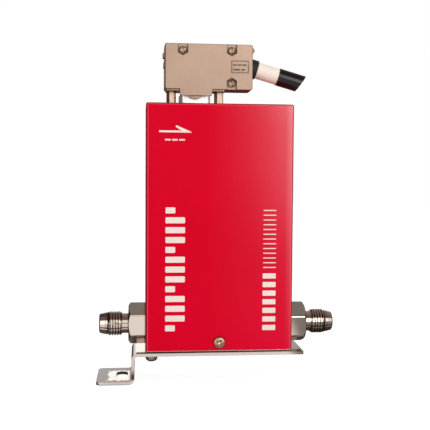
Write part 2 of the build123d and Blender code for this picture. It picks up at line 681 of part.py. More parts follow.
# ---------------------------------------------------------------- valve
flange_z1 = block_z1 + VALVE_FLANGE_THICKNESS
plunger_z0 = seat_top_z
plunger_z1 = plunger_z0 + PLUNGER_LENGTH
pole_z0 = plunger_z1 + PLUNGER_LIFT + PLUNGER_STOP_GAP
tube_z1 = block_z1 + GUIDE_TUBE_HEIGHT
stud_z0 = tube_z1 + POLE_SHOULDER
guide_bore = PLUNGER_RADIUS + PLUNGER_RUNNING_FIT
guide_outer = guide_bore + GUIDE_TUBE_WALL
bobbin_z0 = flange_z1 + YOKE_SHEET
bobbin_z1 = bobbin_z0 + BOBBIN_HEIGHT
yoke_z1 = bobbin_z1 + YOKE_SHEET


def make_valve_seat():
    """The orifice: a turned insert with a raised lip that the seal closes on."""
    floor = -SEAT_SUNK
    lip = ORIFICE_RADIUS + SEAT_LIP_WIDTH
    body = turned([(ORIFICE_RADIUS, floor), (SEAT_RADIUS, floor), (SEAT_RADIUS, SEAT_PROUD - SEAT_LIP_HEIGHT),
                   (lip, SEAT_PROUD), (ORIFICE_RADIUS, SEAT_PROUD)])
    return Pos(valve_x, 0, seat_floor_z) * body


def make_valve_plunger():
    """Soft-iron plunger: seal pocket below, spring pocket above."""
    body = rod_z(PLUNGER_RADIUS, plunger_z0, plunger_z1, valve_x)
    body = chamfer(body.edges(), PLUNGER_CHAMFER)
    pocket = SPRING_MEAN_RADIUS + SPRING_WIRE / 2 + SPRING_SIDE_CLEARANCE
    body = body - rod_z(pocket, plunger_z1 - SPRING_POCKET_DEPTH, plunger_z1, valve_x)
    return body - rod_z(SEAL_DISC_RADIUS, plunger_z0, plunger_z0 + SEAL_DISC_THICKNESS, valve_x)


def make_plunger_seal():
    """The elastomer disc in the plunger's lower face."""
    return rod_z(SEAL_DISC_RADIUS - SLIP, plunger_z0, plunger_z0 + SEAL_DISC_THICKNESS, valve_x)


def make_plunger_spring():
    """A close coil spring from the pocket's floor up to the pole's face."""
    wire = SPRING_WIRE / 2
    bottom = plunger_z1 - SPRING_POCKET_DEPTH + wire + SLIP
    height = pole_z0 - plunger_z1 + SPRING_POCKET_DEPTH - SPRING_WIRE - 2 * SLIP
    helix = Helix(height / SPRING_TURNS, height, SPRING_MEAN_RADIUS)
    start = Plane(origin=helix @ 0, z_dir=helix % 0)
    coil = sweep(start * Circle(wire), path=helix, is_frenet=True)
    return Pos(valve_x, 0, bottom) * coil


def make_valve_guide():
    """Square flange with a spigot into the chamber and a thin tube that the plunger runs in."""
    half = VALVE_FLANGE / 2
    body = block_between((valve_x - half, -half, block_z1), (valve_x + half, half, flange_z1))
    body = fillet(body.edges().filter_by(Axis.Z), VALVE_FLANGE_CORNER)
    body = body + rod_z(CHAMBER_RADIUS - SPIGOT_CLEARANCE, block_z1 - SPIGOT_LENGTH, flange_z1, valve_x)
    body = body + rod_z(guide_outer, block_z1, tube_z1, valve_x)
    body = body - rod_z(guide_bore, block_z1 - SPIGOT_LENGTH - 1, tube_z1 + 1, valve_x)
    for x, y in valve_screw_spots:
        body = body - rod_z(M25_RADIUS + HOLE_CLEARANCE, block_z1, flange_z1, x, y)
    return body


def make_valve_seal():
    """The ring in the groove round the valve chamber."""
    return Pos(valve_x, 0, block_z1 - ORING_SECTION) * Torus(ORING_RADIUS, ORING_SECTION)


def make_valve_screws():
    """Four socket-head screws through the valve's flange."""
    reach = VALVE_FLANGE_THICKNESS + M25_DEPTH - SCREW_END_GAP
    one = cap_screw(CAP_HEAD_RADIUS, LOW_CAP_HEAD_HEIGHT, M25_RADIUS, reach)
    return group([Pos(x, y, flange_z1) * one for x, y in valve_screw_spots])


def make_pole_core():
    """The fixed pole: plug in the tube's top, shoulder on its rim, threaded stud above."""
    body = rod_z(PLUNGER_RADIUS, pole_z0, tube_z1, valve_x)
    body = body + rod_z(guide_outer, tube_z1, stud_z0, valve_x)
    return body + rod_z(POLE_STUD_RADIUS, stud_z0, stud_z0 + POLE_STUD_LENGTH, valve_x)


def make_coil_bobbin():
    """A moulded spool that slips over the guide tube."""
    bore = guide_outer + BOBBIN_CLEARANCE
    hub = bore + BOBBIN_WALL
    body = turned([(bore, bobbin_z0), (BOBBIN_RADIUS, bobbin_z0), (BOBBIN_RADIUS, bobbin_z0 + BOBBIN_WALL),
                   (hub, bobbin_z0 + BOBBIN_WALL), (hub, bobbin_z1 - BOBBIN_WALL),
                   (BOBBIN_RADIUS, bobbin_z1 - BOBBIN_WALL), (BOBBIN_RADIUS, bobbin_z1), (bore, bobbin_z1)])
    return Pos(valve_x, 0, 0) * body


def make_coil_winding():
    """The copper winding, filling the spool nearly to its rims."""
    hub = guide_outer + BOBBIN_CLEARANCE + BOBBIN_WALL
    z0 = bobbin_z0 + BOBBIN_WALL
    z1 = bobbin_z1 - BOBBIN_WALL
    ring = rod_z(BOBBIN_RADIUS - WINDING_BELOW_RIM, z0, z1, valve_x)
    return ring - rod_z(hub + SLIP, z0 - 1, z1 + 1, valve_x)


def make_coil_yoke():
    """A steel strap folded round the coil, with holes for the guide tube and the stud."""
    outer_x = BOBBIN_RADIUS + COIL_SIDE_CLEARANCE + YOKE_SHEET
    half_y = YOKE_DEPTH / 2
    strap = block_between((valve_x - outer_x, -half_y, flange_z1), (valve_x + outer_x, half_y, yoke_z1))
    strap = fillet(strap.edges().filter_by(Axis.Y), YOKE_SHEET)
    inner_x = outer_x - YOKE_SHEET
    strap = strap - block_between((valve_x - inner_x, -half_y, bobbin_z0),
                                  (valve_x + inner_x, half_y, bobbin_z1))
    strap = strap - rod_z(guide_outer + SLIP, flange_z1 - 1, bobbin_z0 + 1, valve_x)
    return strap - rod_z(POLE_STUD_RADIUS + HOLE_CLEARANCE, bobbin_z1 - 1, yoke_z1 + 1, valve_x)


def make_coil_nut():
    """A hexagon nut that clamps the coil on the pole's stud."""
    nut = Pos(valve_x, 0, yoke_z1) * hex_bar(COIL_NUT_FLATS, COIL_NUT_HEIGHT)
    nut_z1 = yoke_z1 + COIL_NUT_HEIGHT
    return nut - rod_z(POLE_STUD_RADIUS + SCREW_CLEARANCE, yoke_z1 - 1, nut_z1 + 1, valve_x)


# ---------------------------------------------------------------- board and its frame
flange_top_z = cover_z1 - COVER_SHEET
receptacle_flange_z0 = flange_top_z - FLANGE_SHEET
insulator_z0 = receptacle_flange_z0 - INSULATOR_DEPTH
board_z1 = insulator_z0
board_z0 = board_z1 - BOARD_HEIGHT
board_x0 = frame_x0 + BOARD_INSET
board_x1 = frame_x1 - BOARD_INSET
board_x = (board_x0 + board_x1) / 2
board_half = BOARD_THICKNESS / 2
frame_z1 = cover_z1 - FRAME_TOP_GAP
board_screw_spots = [(x, z) for x in (board_x0 + BOARD_CORNER_HOLE, board_x1 - BOARD_CORNER_HOLE)
                     for z in (board_z0 + BOARD_CORNER_HOLE, board_z1 - BOARD_CORNER_HOLE)]
header_xs = [sensor_x, valve_x]
header_z0 = board_z0 + HEADER_RISE


def make_board_frame():
    """A sheet panel behind the board, standing on two legs with tabs folded forward onto the block."""
    panel = block_between((frame_x0, frame_y0, block_z1), (frame_x1, frame_y1, frame_z1))
    leg = FRAME_TAB_WIDTH + FRAME_LEG_MARGIN
    opening = block_between((frame_x0 + leg, frame_y0 - 1, block_z1 - 2 * FRAME_WINDOW_RADIUS),
                            (frame_x1 - leg, frame_y1 + 1, board_z0 - FRAME_WINDOW_MARGIN))
    panel = panel - fillet(opening.edges().filter_by(Axis.Y), FRAME_WINDOW_RADIUS)
    tab_front = frame_y1 - FRAME_TAB_REACH
    for x0 in (frame_x0, frame_x1 - FRAME_TAB_WIDTH):
        panel = panel + block_between((x0, tab_front, block_z1),
                                      (x0 + FRAME_TAB_WIDTH, frame_y1, block_z1 + FRAME_SHEET))
    for x in frame_screw_xs:
        panel = panel - rod_z(M25_RADIUS + HOLE_CLEARANCE, block_z1 - 1, block_z1 + 2 * FRAME_SHEET, x)
    return panel


def make_frame_screws():
    """Pan-head screws down through the frame's tabs."""
    reach = FRAME_SHEET + M25_DEPTH - SCREW_END_GAP
    one = screw(INNER_HEAD_RADIUS, INNER_HEAD_HEIGHT, M25_RADIUS, reach)
    return group([Pos(x, 0, block_z1 + FRAME_SHEET) * one for x in frame_screw_xs])


def make_board_standoffs():
    """Pressed-in threaded pillars between the frame and the board."""
    pillars = []
    for x, z in board_screw_spots:
        pillar = rod_y(STANDOFF_RADIUS, board_half, frame_y0, x, z)
        hole = rod_y(M25_RADIUS + SCREW_CLEARANCE, board_half, board_half + M25_DEPTH, x, z)
        pillars.append(pillar - hole)
    return group(pillars)


def make_circuit_board():
    """The board, in the middle of the depth, with a hole at each corner."""
    body = block_between((board_x0, -board_half, board_z0), (board_x1, board_half, board_z1))
    body = fillet(body.edges().filter_by(Axis.Y), BOARD_CORNER)
    for x, z in board_screw_spots:
        body = body - rod_y(M25_RADIUS + HOLE_CLEARANCE, -board_half - 1, board_half + 1, x, z)
    return body


def make_board_screws():
    """Pan-head screws through the board into its pillars."""
    reach = BOARD_THICKNESS + M25_DEPTH - SCREW_END_GAP
    one = screw(INNER_HEAD_RADIUS, INNER_HEAD_HEIGHT, M25_RADIUS, reach)
    return group([Pos(x, -board_half, z) * Rot(90, 0, 0) * one for x, z in board_screw_spots])


def make_packages():
    """Amplifier packages in two rows on the board's front."""
    packages = []
    for i in range(PACKAGE_COLUMNS):
        for j in range(PACKAGE_ROWS):
            x = board_x + (i - (PACKAGE_COLUMNS - 1) / 2) * PACKAGE_COLUMN_PITCH
            z = board_z0 + PACKAGE_FIRST_RISE + j * PACKAGE_ROW_PITCH
            packages.append(block_between(
                (x - PACKAGE_LENGTH / 2, -board_half - PACKAGE_HEIGHT, z - PACKAGE_WIDTH / 2),
                (x + PACKAGE_LENGTH / 2, -board_half, z + PACKAGE_WIDTH / 2)))
    return group(packages)


def make_capacitors():
    """Round capacitors standing off the board's back."""
    cans = []
    for i in range(CAPACITOR_COUNT):
        x = board_x + (i - (CAPACITOR_COUNT - 1) / 2) * CAPACITOR_PITCH
        can = rod_y(CAPACITOR_RADIUS, board_half, board_half + CAPACITOR_HEIGHT, x, board_z0 + CAPACITOR_RISE)
        cans.append(chamfer(can.edges().sort_by(Axis.Y)[-1], CAPACITOR_CHAMFER))
    return group(cans)


def make_board_headers():
    """Two pin headers on the board's lower edge, for the sensor's and the coil's leads."""
    headers = []
    for x in header_xs:
        headers.append(block_between((x - HEADER_LENGTH / 2, -board_half - HEADER_DEPTH, header_z0),
                                     (x + HEADER_LENGTH / 2, -board_half, header_z0 + HEADER_HEIGHT)))
    return group(headers)


def make_sensor_leads():
    """A flat strip of leads from the sensor's can to its header."""
    back = -board_half - LEAD_STRIP_FROM_BOARD
    half = LEAD_STRIP_WIDTH / 2
    return block_between((sensor_x - half, back - LEAD_STRIP_THICKNESS, can_z1),
                         (sensor_x + half, back, header_z0))


def make_coil_leads():
    """Two insulated wires from the spool's upper rim to the coil's header."""
    y = -(YOKE_DEPTH / 2 + LEAD_RADIUS + LEAD_GAP)
    xs = [valve_x - LEAD_SPACING / 2, valve_x + LEAD_SPACING / 2]
    return group([rod_z(LEAD_RADIUS, bobbin_z1, header_z0, x, y) for x in xs])


# ---------------------------------------------------------------- receptacle and plug
plug_length = RECEPTACLE_LENGTH - 2 * (D_SHELL_WALL + D_SHELL_GAP)
plug_width = RECEPTACLE_WIDTH - 2 * (D_SHELL_WALL + D_SHELL_GAP)
receptacle_shell_z1 = flange_top_z + D_SHELL_REACH
plug_shell_z0 = plug_flange_z0 - D_SHELL_REACH
contact_spots = [(connector_x + (i - 2) * CONTACT_PITCH, CONTACT_ROW_PITCH / 2) for i in range(5)]
contact_spots += [(connector_x + (i - 1.5) * CONTACT_PITCH, -CONTACT_ROW_PITCH / 2) for i in range(4)]


def flange_plate(z0):
    """The connector's flange: a plate with round corners and two jack holes."""
    plate = extrude(RectangleRounded(FLANGE_LENGTH, FLANGE_DEPTH, FLANGE_CORNER), FLANGE_SHEET)
    plate = Pos(connector_x, 0, z0) * plate
    for x in jack_xs:
        plate = plate - rod_z(JACK_THREAD_RADIUS + HOLE_CLEARANCE, z0 - 1, z0 + FLANGE_SHEET + 1, x)
    return plate


def insulator_base(length, width, z0):
    """The rounded block of an insulator behind its flange, a rim wider than the shell all round."""
    rim = 2 * INSULATOR_RIM
    return Pos(connector_x, 0, z0) * extrude(
        RectangleRounded(length + rim, width + rim, INSULATOR_CORNER), INSULATOR_DEPTH)


def make_receptacle_shell():
    """Drawn D-shaped shell rising through the cover, with its flange under the cover's top."""
    wall = D_SHELL_WALL
    shell = flange_plate(receptacle_flange_z0)
    shell = shell + d_prism(RECEPTACLE_LENGTH, RECEPTACLE_WIDTH, D_CORNER,
                            receptacle_flange_z0, receptacle_shell_z1)
    return shell - d_prism(RECEPTACLE_LENGTH - 2 * wall, RECEPTACLE_WIDTH - 2 * wall, D_CORNER - wall,
                           receptacle_flange_z0 - 1, receptacle_shell_z1 + 1)


def make_receptacle_insulator():
    """Moulded insulator in the shell's root, with a body below the flange and nine pin holes."""
    inner_length = RECEPTACLE_LENGTH - 2 * D_SHELL_WALL - 2 * SLIP
    inner_width = RECEPTACLE_WIDTH - 2 * D_SHELL_WALL - 2 * SLIP
    corner = D_CORNER - D_SHELL_WALL - SLIP
    body = d_prism(inner_length, inner_width, corner, insulator_z0, plug_shell_z0 - 2 * D_SHELL_GAP)
    body = body + insulator_base(RECEPTACLE_LENGTH, RECEPTACLE_WIDTH, insulator_z0)
    for x, y in contact_spots:
        body = body - rod_z(CONTACT_RADIUS + SLIP, insulator_z0 - 1, receptacle_shell_z1, x, y)
    return body


def make_connector_pins():
    """Nine pins, their tails in two rows that grip both faces of the board."""
    z0 = insulator_z0 - CONTACT_TAIL
    z1 = receptacle_shell_z1 - PIN_BELOW_SHELL
    pins = []
    for x, y in contact_spots:
        pin = rod_z(CONTACT_RADIUS, z0, z1, x, y)
        pins.append(chamfer(pin.edges().sort_by(Axis.Z)[-1], PIN_CHAMFER))
    return group(pins)


def make_plug_shell():
    """The cable plug's flange and the D-shaped shell that slips inside the receptacle's."""
    wall = D_SHELL_WALL
    z1 = plug_flange_z0 + FLANGE_SHEET
    shell = flange_plate(plug_flange_z0)
    shell = shell + d_prism(plug_length, plug_width, D_CORNER - wall - D_SHELL_GAP, plug_shell_z0, z1)
    return shell - d_prism(plug_length - 2 * wall, plug_width - 2 * wall, D_CORNER - 2 * wall - D_SHELL_GAP,
                           plug_shell_z0 - 1, z1 + 1)


def make_plug_insulator():
    """The plug's insulator, with a socket hole for each pin and a body inside the hood."""
    wall = D_SHELL_WALL + SLIP
    z1 = plug_flange_z0 + FLANGE_SHEET
    body = d_prism(plug_length - 2 * wall, plug_width - 2 * wall, D_CORNER - 2 * wall - D_SHELL_GAP,
                   plug_shell_z0, z1 + INSULATOR_DEPTH)
    body = body + insulator_base(plug_length, plug_width, z1)
    for x, y in contact_spots:
        body = body - rod_z(SOCKET_RADIUS + SLIP, plug_shell_z0 - 1, z1 + INSULATOR_DEPTH + 1, x, y)
    return body


def make_plug_contacts():
    """Nine socket contacts, with cups above the insulator for the cable's cores."""
    z1 = plug_flange_z0 + FLANGE_SHEET + INSULATOR_DEPTH + CONTACT_CUP
    contacts = []
    for x, y in contact_spots:
        contact = rod_z(SOCKET_RADIUS, plug_shell_z0, z1, x, y)
        hole = rod_z(CONTACT_RADIUS + SLIP, plug_shell_z0 - 1, plug_shell_z0 + D_SHELL_REACH, x, y)
        contacts.append(contact - hole)
    return group(contacts)


def make_jack_posts():
    """Hexagonal posts on the cover's top, threaded above and with a stud below."""
    posts = []
    for x in jack_xs:
        post = hex_bar(POST_FLATS, POST_HEIGHT, POST_TURN)
        post = post + rod_z(JACK_THREAD_RADIUS, -JACK_STUD_LENGTH, 0)
        hole_z0 = POST_HEIGHT - JACK_THREAD_ENGAGED - SCREW_END_GAP
        post = post - rod_z(JACK_THREAD_RADIUS + SCREW_CLEARANCE, hole_z0, POST_HEIGHT)
        posts.append(Pos(x, 0, cover_z1) * post)
    return group(posts)


def make_flange_nuts():
    """Nuts under the receptacle's flange that take the posts' studs."""
    nuts = []
    nut_z0 = receptacle_flange_z0 - JACK_NUT_HEIGHT
    for x in jack_xs:
        nut = Pos(x, 0, nut_z0) * hex_bar(POST_FLATS, JACK_NUT_HEIGHT)
        hole = rod_z(JACK_THREAD_RADIUS + SCREW_CLEARANCE, nut_z0 - 1, receptacle_flange_z0 + 1, x)
        nuts.append(nut - hole)
    return group(nuts)


# ---------------------------------------------------------------- hood
hood_screw_spots = [(hood_x0 + HOOD_SCREW_LEFT, hood_z1 - HOOD_SCREW_INSET, 1),
                    (hood_x0 + HOOD_SCREW_RIGHT, hood_z1 - HOOD_SCREW_INSET, 1),
                    (hood_x0 + HOOD_SCREW_RIGHT, hood_z0 + HOOD_SCREW_INSET, -1)]
cable_exit = Pos(hood_x1, 0, hood_z1 - CABLE_EXIT_BELOW_TOP) * Rot(0, CABLE_DROP_ANGLE, 0)


def hood_slab(y0, y1, grow=0.0):
    """A slab of the hood's outline between two depths, larger all round by grow."""
    slab = block_between((hood_x0 - grow, y0, hood_z0), (hood_x1 + grow, y1, hood_z1 + grow))
    return fillet(slab.edges().filter_by(Axis.Y), HOOD_CORNER)


def make_hood_shell():
    """The deep half: walls, screw and jackscrew bosses, plug opening, cable hole and side lugs."""
    wall = HOOD_WALL
    shell = hood_slab(hood_split, hood_back, HOOD_OVERHANG)
    shell = shell - block_between((hood_x0 + wall, hood_split, hood_z0 + wall),
                                  (hood_x1 - wall, hood_back - wall, hood_z1 - wall))
    for x, z, up in hood_screw_spots:
        shell = shell + rod_y(HOOD_BOSS_RADIUS, hood_split, hood_back - wall / 2, x, z)
    for x in jack_xs:
        shell = shell + rod_z(JACK_BOSS_RADIUS, hood_z0 + wall / 2, hood_z1 - wall / 2, x)
    opening_x = plug_length / 2 + INSULATOR_RIM + HOLE_CLEARANCE
    opening_y = plug_width / 2 + INSULATOR_RIM + HOLE_CLEARANCE
    shell = shell - block_between((connector_x - opening_x, -opening_y, hood_z0 - 1),
                                  (connector_x + opening_x, opening_y, hood_z0 + 2 * wall))
    for x in jack_xs:
        shell = shell - rod_z(JACK_THREAD_RADIUS + HOLE_CLEARANCE, hood_z0 - 1, hood_z1 + 1, x)
        head_floor = hood_z1 - JACK_HEAD_HEIGHT - JACK_HEAD_SUNK
        shell = shell - rod_z(JACK_HEAD_RADIUS + HOLE_CLEARANCE, head_floor, hood_z1 + 1, x)
    for x, z, up in hood_screw_spots:
        shell = shell - rod_y(M2_RADIUS + SCREW_CLEARANCE, hood_split, hood_split + M2_DEPTH, x, z)
    lug_y0 = hood_split + SIDE_LUG_INSET
    lug_y1 = lug_y0 + SIDE_LUG_DEPTH
    left = hood_x0 - HOOD_OVERHANG
    for below, tall, proud in ((UPPER_LUG_BELOW_TOP, UPPER_LUG_HEIGHT, UPPER_LUG_PROUD),
                               (LOWER_LUG_BELOW_TOP, LOWER_LUG_HEIGHT, LOWER_LUG_PROUD)):
        lug = block_between((left - proud, lug_y0, hood_z1 - below - tall / 2),
                            (left + wall / 2, lug_y1, hood_z1 - below + tall / 2))
        shell = shell + fillet(lug.edges().filter_by(Axis.Y).group_by(Axis.X)[0], proud * SIDE_LUG_ROUND)
    right = hood_x1 + HOOD_OVERHANG
    corner_z1 = hood_z1 - CORNER_LUG_BELOW_TOP
    corner_lug = block_between((right - wall / 2, lug_y0, corner_z1 - CORNER_LUG_HEIGHT),
                               (right + CORNER_LUG_PROUD, lug_y1, corner_z1))
    corner_edges = corner_lug.edges().filter_by(Axis.Y).group_by(Axis.X)[-1]
    shell = shell + chamfer(corner_edges, CORNER_LUG_CHAMFER)
    return shell - cable_exit * rod_x(BUSH_RADIUS + SLIP, -2 * wall - BUSH_INSIDE, 2 * wall + BUSH_OUTSIDE)


def make_hood_cover():
    """The front half: a plate, a tongue between the posts with a lip below, notches round the screws."""
    plate = hood_slab(hood_front, hood_split)
    left = connector_x - HOOD_TONGUE_WIDTH / 2
    right = connector_x + HOOD_TONGUE_WIDTH / 2
    low = hood_z0 - HOOD_TONGUE_DROP
    cut = HOOD_TONGUE_CHAMFER
    outline = Polyline((left, hood_z0 + 1), (left, low + cut), (left + cut, low),
                       (right, low), (right, hood_z0 + 1), close=True)
    tongue_y1 = -FLANGE_DEPTH / 2 - SLIP
    plate = plate + Pos(0, hood_front, 0) * extrude(Plane.XZ * make_face(outline), hood_front - tongue_y1)
    lip = Plane.XZ * Pos(connector_x, low) * Ellipse(HOOD_LIP_WIDTH / 2, HOOD_LIP_DROP)
    plate = plate + Pos(0, tongue_y1, 0) * extrude(lip, HOOD_LIP_THICKNESS)
    for x, z, up in hood_screw_spots:
        plate = plate - notch(x, z, up)
        plate = plate - rod_y(M2_RADIUS + HOLE_CLEARANCE, hood_front - 1, hood_split + 1, x, z)
    mark_x = hood_x1 - FRAME_MARK_FROM_SIDE - FRAME_MARK_LENGTH / 2
    mark_z = hood_z1 - FRAME_MARK_FROM_TOP - FRAME_MARK_HEIGHT / 2
    line = FRAME_MARK_LINE
    mark = Rectangle(FRAME_MARK_LENGTH, FRAME_MARK_HEIGHT)
    mark = mark - Rectangle(FRAME_MARK_LENGTH - 2 * line, FRAME_MARK_HEIGHT - 2 * line)
    return plate - Pos(mark_x, hood_front, mark_z) * extrude(Plane.XZ * mark, -FRAME_MARK_DEPTH)


def notch(x, z, up):
    """A pocket round a screw head, open to the plate's nearer long edge, its floor a shallow V."""
    half = HOOD_NOTCH_WIDTH / 2
    point = half / math.cos(math.radians(30))
    side = half * math.tan(math.radians(30))
    far = HOOD_SCREW_INSET + 1
    outline = Polyline((x - half, z - up * side), (x, z - up * point), (x + half, z - up * side),
                       (x + half, z + up * far), (x - half, z + up * far), close=True)
    return Pos(0, hood_front, 0) * extrude(Plane.XZ * make_face(outline), -HOOD_NOTCH_DEPTH)


def make_hood_screws():
    """Three small screws that hold the hood's halves together."""
    reach = HOOD_FRONT_PLATE - HOOD_NOTCH_DEPTH + M2_DEPTH - SCREW_END_GAP
    one = screw(HOOD_HEAD_RADIUS, HOOD_HEAD_HEIGHT, M2_RADIUS, reach, recess=HOOD_HEAD_CROSS)
    floor = hood_front + HOOD_NOTCH_DEPTH
    return group([Pos(x, floor, z) * Rot(90, 0, 0) * one for x, z, up in hood_screw_spots])


def make_jackscrews():
    """Long screws from the hood's top down into the posts, with slotted heads."""
    head_z = hood_z1 - JACK_HEAD_HEIGHT - JACK_HEAD_SUNK
    tip_z = plug_flange_z0 - JACK_THREAD_ENGAGED
    screws = []
    for x in jack_xs:
        body = rod_z(JACK_HEAD_RADIUS, head_z, head_z + JACK_HEAD_HEIGHT, x)
        body = body + rod_z(JACK_THREAD_RADIUS, tip_z, head_z, x)
        slot_z = head_z + JACK_HEAD_HEIGHT - JACK_HEAD_SLOT_DEPTH
        half = JACK_HEAD_SLOT_WIDTH / 2
        body = body - block_between((x - JACK_HEAD_RADIUS, -half, slot_z),
                                    (x + JACK_HEAD_RADIUS, half, hood_z1))
        screws.append(body)
    return group(screws)


# ---------------------------------------------------------------- cable stub
clamp_x = -BUSH_INSIDE - SLIP - CLAMP_LENGTH / 2


def make_cable():
    """The sheathed cable, straight, from inside the hood to its cut end."""
    return cable_exit * rod_x(CABLE_RADIUS, -CABLE_INSIDE, CABLE_REACH)


def make_cable_bush():
    """A rubber bush round the cable where it passes the hood's wall."""
    bush = rod_x(BUSH_RADIUS, -BUSH_INSIDE, BUSH_OUTSIDE)
    return cable_exit * (bush - rod_x(CABLE_RADIUS + SLIP, -BUSH_INSIDE - 1, BUSH_OUTSIDE + 1))


def make_cable_tape():
    """Tape bound over the cable's end and cut slanting, longer along the top."""
    tape = rod_x(TAPE_RADIUS, TAPE_START, TAPE_END_TOP)
    tape = tape - rod_x(CABLE_RADIUS + SLIP, TAPE_START - 1, CABLE_REACH)
    lean = math.degrees(math.atan2(TAPE_END_TOP - TAPE_END_BOTTOM, 2 * TAPE_RADIUS))
    middle = (TAPE_END_TOP + TAPE_END_BOTTOM) / 2
    span = 2 * TAPE_END_TOP
    keep = Pos(middle, 0, 0) * Rot(0, lean, 0) * Pos(-span / 2, 0, 0) * Box(span, span, span)
    return cable_exit * (tape & keep)


def make_cable_clamp():
    """A saddle round the cable's front, its two legs standing on the shell's back wall."""
    inner = CABLE_RADIUS + SLIP
    outer = inner + CLAMP_SHEET
    half = CLAMP_LENGTH / 2
    saddle = rod_x(outer, clamp_x - half, clamp_x + half)
    saddle = saddle & block_between((clamp_x - half, -outer, -outer), (clamp_x + half, 0, outer))
    saddle = saddle + block_between((clamp_x - half, 0, -outer),
                                    (clamp_x + half, hood_back - HOOD_WALL, outer))
    saddle = saddle - block_between((clamp_x - half, 0, -inner), (clamp_x + half, hood_back, inner))
    return cable_exit * (saddle - rod_x(inner, clamp_x - half - 1, clamp_x + half + 1))


def make_cable_cores():
    """The bundle of cores, from the cable's inner end round a jackscrew boss to the contacts."""
    beside_boss = JACK_BOSS_RADIUS + CORES_RADIUS + CORES_TO_BOSS
    start_y = CABLE_RADIUS - CORES_RADIUS - CORES_BELOW_SHEATH
    start = (cable_exit * Pos(-CABLE_INSIDE, start_y, 0)).position
    onward = (cable_exit * Pos(-CABLE_INSIDE - CORES_LEAD_OUT, start_y, 0)).position
    boss_x = jack_xs[1]
    level = onward.Z + CORES_RISE
    end_y = CONTACT_ROW_PITCH / 2
    end_z = plug_flange_z0 + FLANGE_SHEET + INSULATOR_DEPTH + CONTACT_CUP
    path = FilletPolyline(start, onward, (boss_x + JACK_BOSS_RADIUS, beside_boss, level),
                          (boss_x - JACK_BOSS_RADIUS - CORES_RADIUS, beside_boss, level + CORES_RISE),
                          (connector_x, end_y, level), (connector_x, end_y, end_z), radius=CORES_BEND)
    return sweep(Plane(origin=path @ 0, z_dir=path % 0) * Circle(CORES_RADIUS), path=path)


# ---------------------------------------------------------------- write every piece
def main():
    os.makedirs("parts", exist_ok=True)
    inlet_fitting, outlet_fitting = make_fittings()
    pieces = {
        "bracket": make_bracket(),
        "bracket_screws": make_bracket_screws(),
        "base_block": make_base_block(),
        "cover": make_cover(),
        "cover_screws": make_cover_screws(),
        "inlet_fitting": inlet_fitting,
        "outlet_fitting": outlet_fitting,
        "fitting_seals": make_fitting_seals(),
        "inlet_filter": make_inlet_filter(),
        "bypass_element": make_bypass_element(),
        "sensor_base": make_sensor_base(),
        "sensor_seals": make_sensor_seals(),
        "sensor_tube": make_sensor_tube(),
        "sensor_windings": make_sensor_windings(),
        "sensor_cover": make_sensor_cover(),
        "sensor_screws": make_sensor_screws(),
        "sensor_leads": make_sensor_leads(),
        "valve_seat": make_valve_seat(),
        "valve_plunger": make_valve_plunger(),
        "plunger_seal": make_plunger_seal(),
        "plunger_spring": make_plunger_spring(),
        "valve_guide": make_valve_guide(),
        "valve_seal": make_valve_seal(),
        "valve_screws": make_valve_screws(),
        "pole_core": make_pole_core(),
        "coil_bobbin": make_coil_bobbin(),
        "coil_winding": make_coil_winding(),
        "coil_yoke": make_coil_yoke(),
        "coil_nut": make_coil_nut(),
        "coil_leads": make_coil_leads(),
        "board_frame": make_board_frame(),
        "frame_screws": make_frame_screws(),
        "board_standoffs": make_board_standoffs(),
        "circuit_board": make_circuit_board(),
        "board_screws": make_board_screws(),
        "amplifier_packages": make_packages(),
        "capacitors": make_capacitors(),
        "board_headers": make_board_headers(),
        "receptacle_shell": make_receptacle_shell(),
        "receptacle_insulator": make_receptacle_insulator(),
        "connector_pins": make_connector_pins(),
        "jack_posts": make_jack_posts(),
        "flange_nuts": make_flange_nuts(),
        "plug_shell": make_plug_shell(),
        "plug_insulator": make_plug_insulator(),
        "plug_contacts": make_plug_contacts(),
        "hood_shell": make_hood_shell(),
        "hood_cover": make_hood_cover(),
        "hood_screws": make_hood_screws(),
        "jackscrews": make_jackscrews(),
        "cable": make_cable(),
        "cable_bush": make_cable_bush(),
        "cable_tape": make_cable_tape(),
        "cable_clamp": make_cable_clamp(),
        "cable_cores": make_cable_cores(),
    }
    for node, shape in pieces.items():
        export_step(shape, "parts/" + node + ".step")


main()
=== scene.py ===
# %% [markdown]
# # A mass flow controller on its bracket
# The real object meters a gas: a painted sheet cover stands over a steel block, a threaded gland
# sits in each end of the block, a stepped bracket carries it, and a signal plug is screwed on top.
# The sizes are settled in CAD. This script loads those solids, gives each of them a finish,
# and makes the few forms that CAD leaves plain: threads, fine screw heads, a wound spring and print.

# %% Load the frame
import bpy
import math
import numpy as np
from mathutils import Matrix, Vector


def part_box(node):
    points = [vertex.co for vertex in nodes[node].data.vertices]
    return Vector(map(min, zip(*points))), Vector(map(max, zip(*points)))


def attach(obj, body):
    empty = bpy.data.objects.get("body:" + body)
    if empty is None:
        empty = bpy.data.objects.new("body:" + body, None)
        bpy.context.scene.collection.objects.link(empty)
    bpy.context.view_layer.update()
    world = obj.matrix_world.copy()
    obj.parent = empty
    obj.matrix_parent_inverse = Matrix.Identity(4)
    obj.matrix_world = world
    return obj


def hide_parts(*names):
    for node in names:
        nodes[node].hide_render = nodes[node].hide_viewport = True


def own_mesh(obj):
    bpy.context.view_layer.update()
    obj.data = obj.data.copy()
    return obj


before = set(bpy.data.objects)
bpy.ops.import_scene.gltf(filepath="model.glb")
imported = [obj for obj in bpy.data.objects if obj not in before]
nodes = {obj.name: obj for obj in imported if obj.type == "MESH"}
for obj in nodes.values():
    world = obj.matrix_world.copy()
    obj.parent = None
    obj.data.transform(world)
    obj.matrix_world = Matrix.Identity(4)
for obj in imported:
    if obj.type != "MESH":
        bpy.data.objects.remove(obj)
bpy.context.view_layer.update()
MM = 0.001

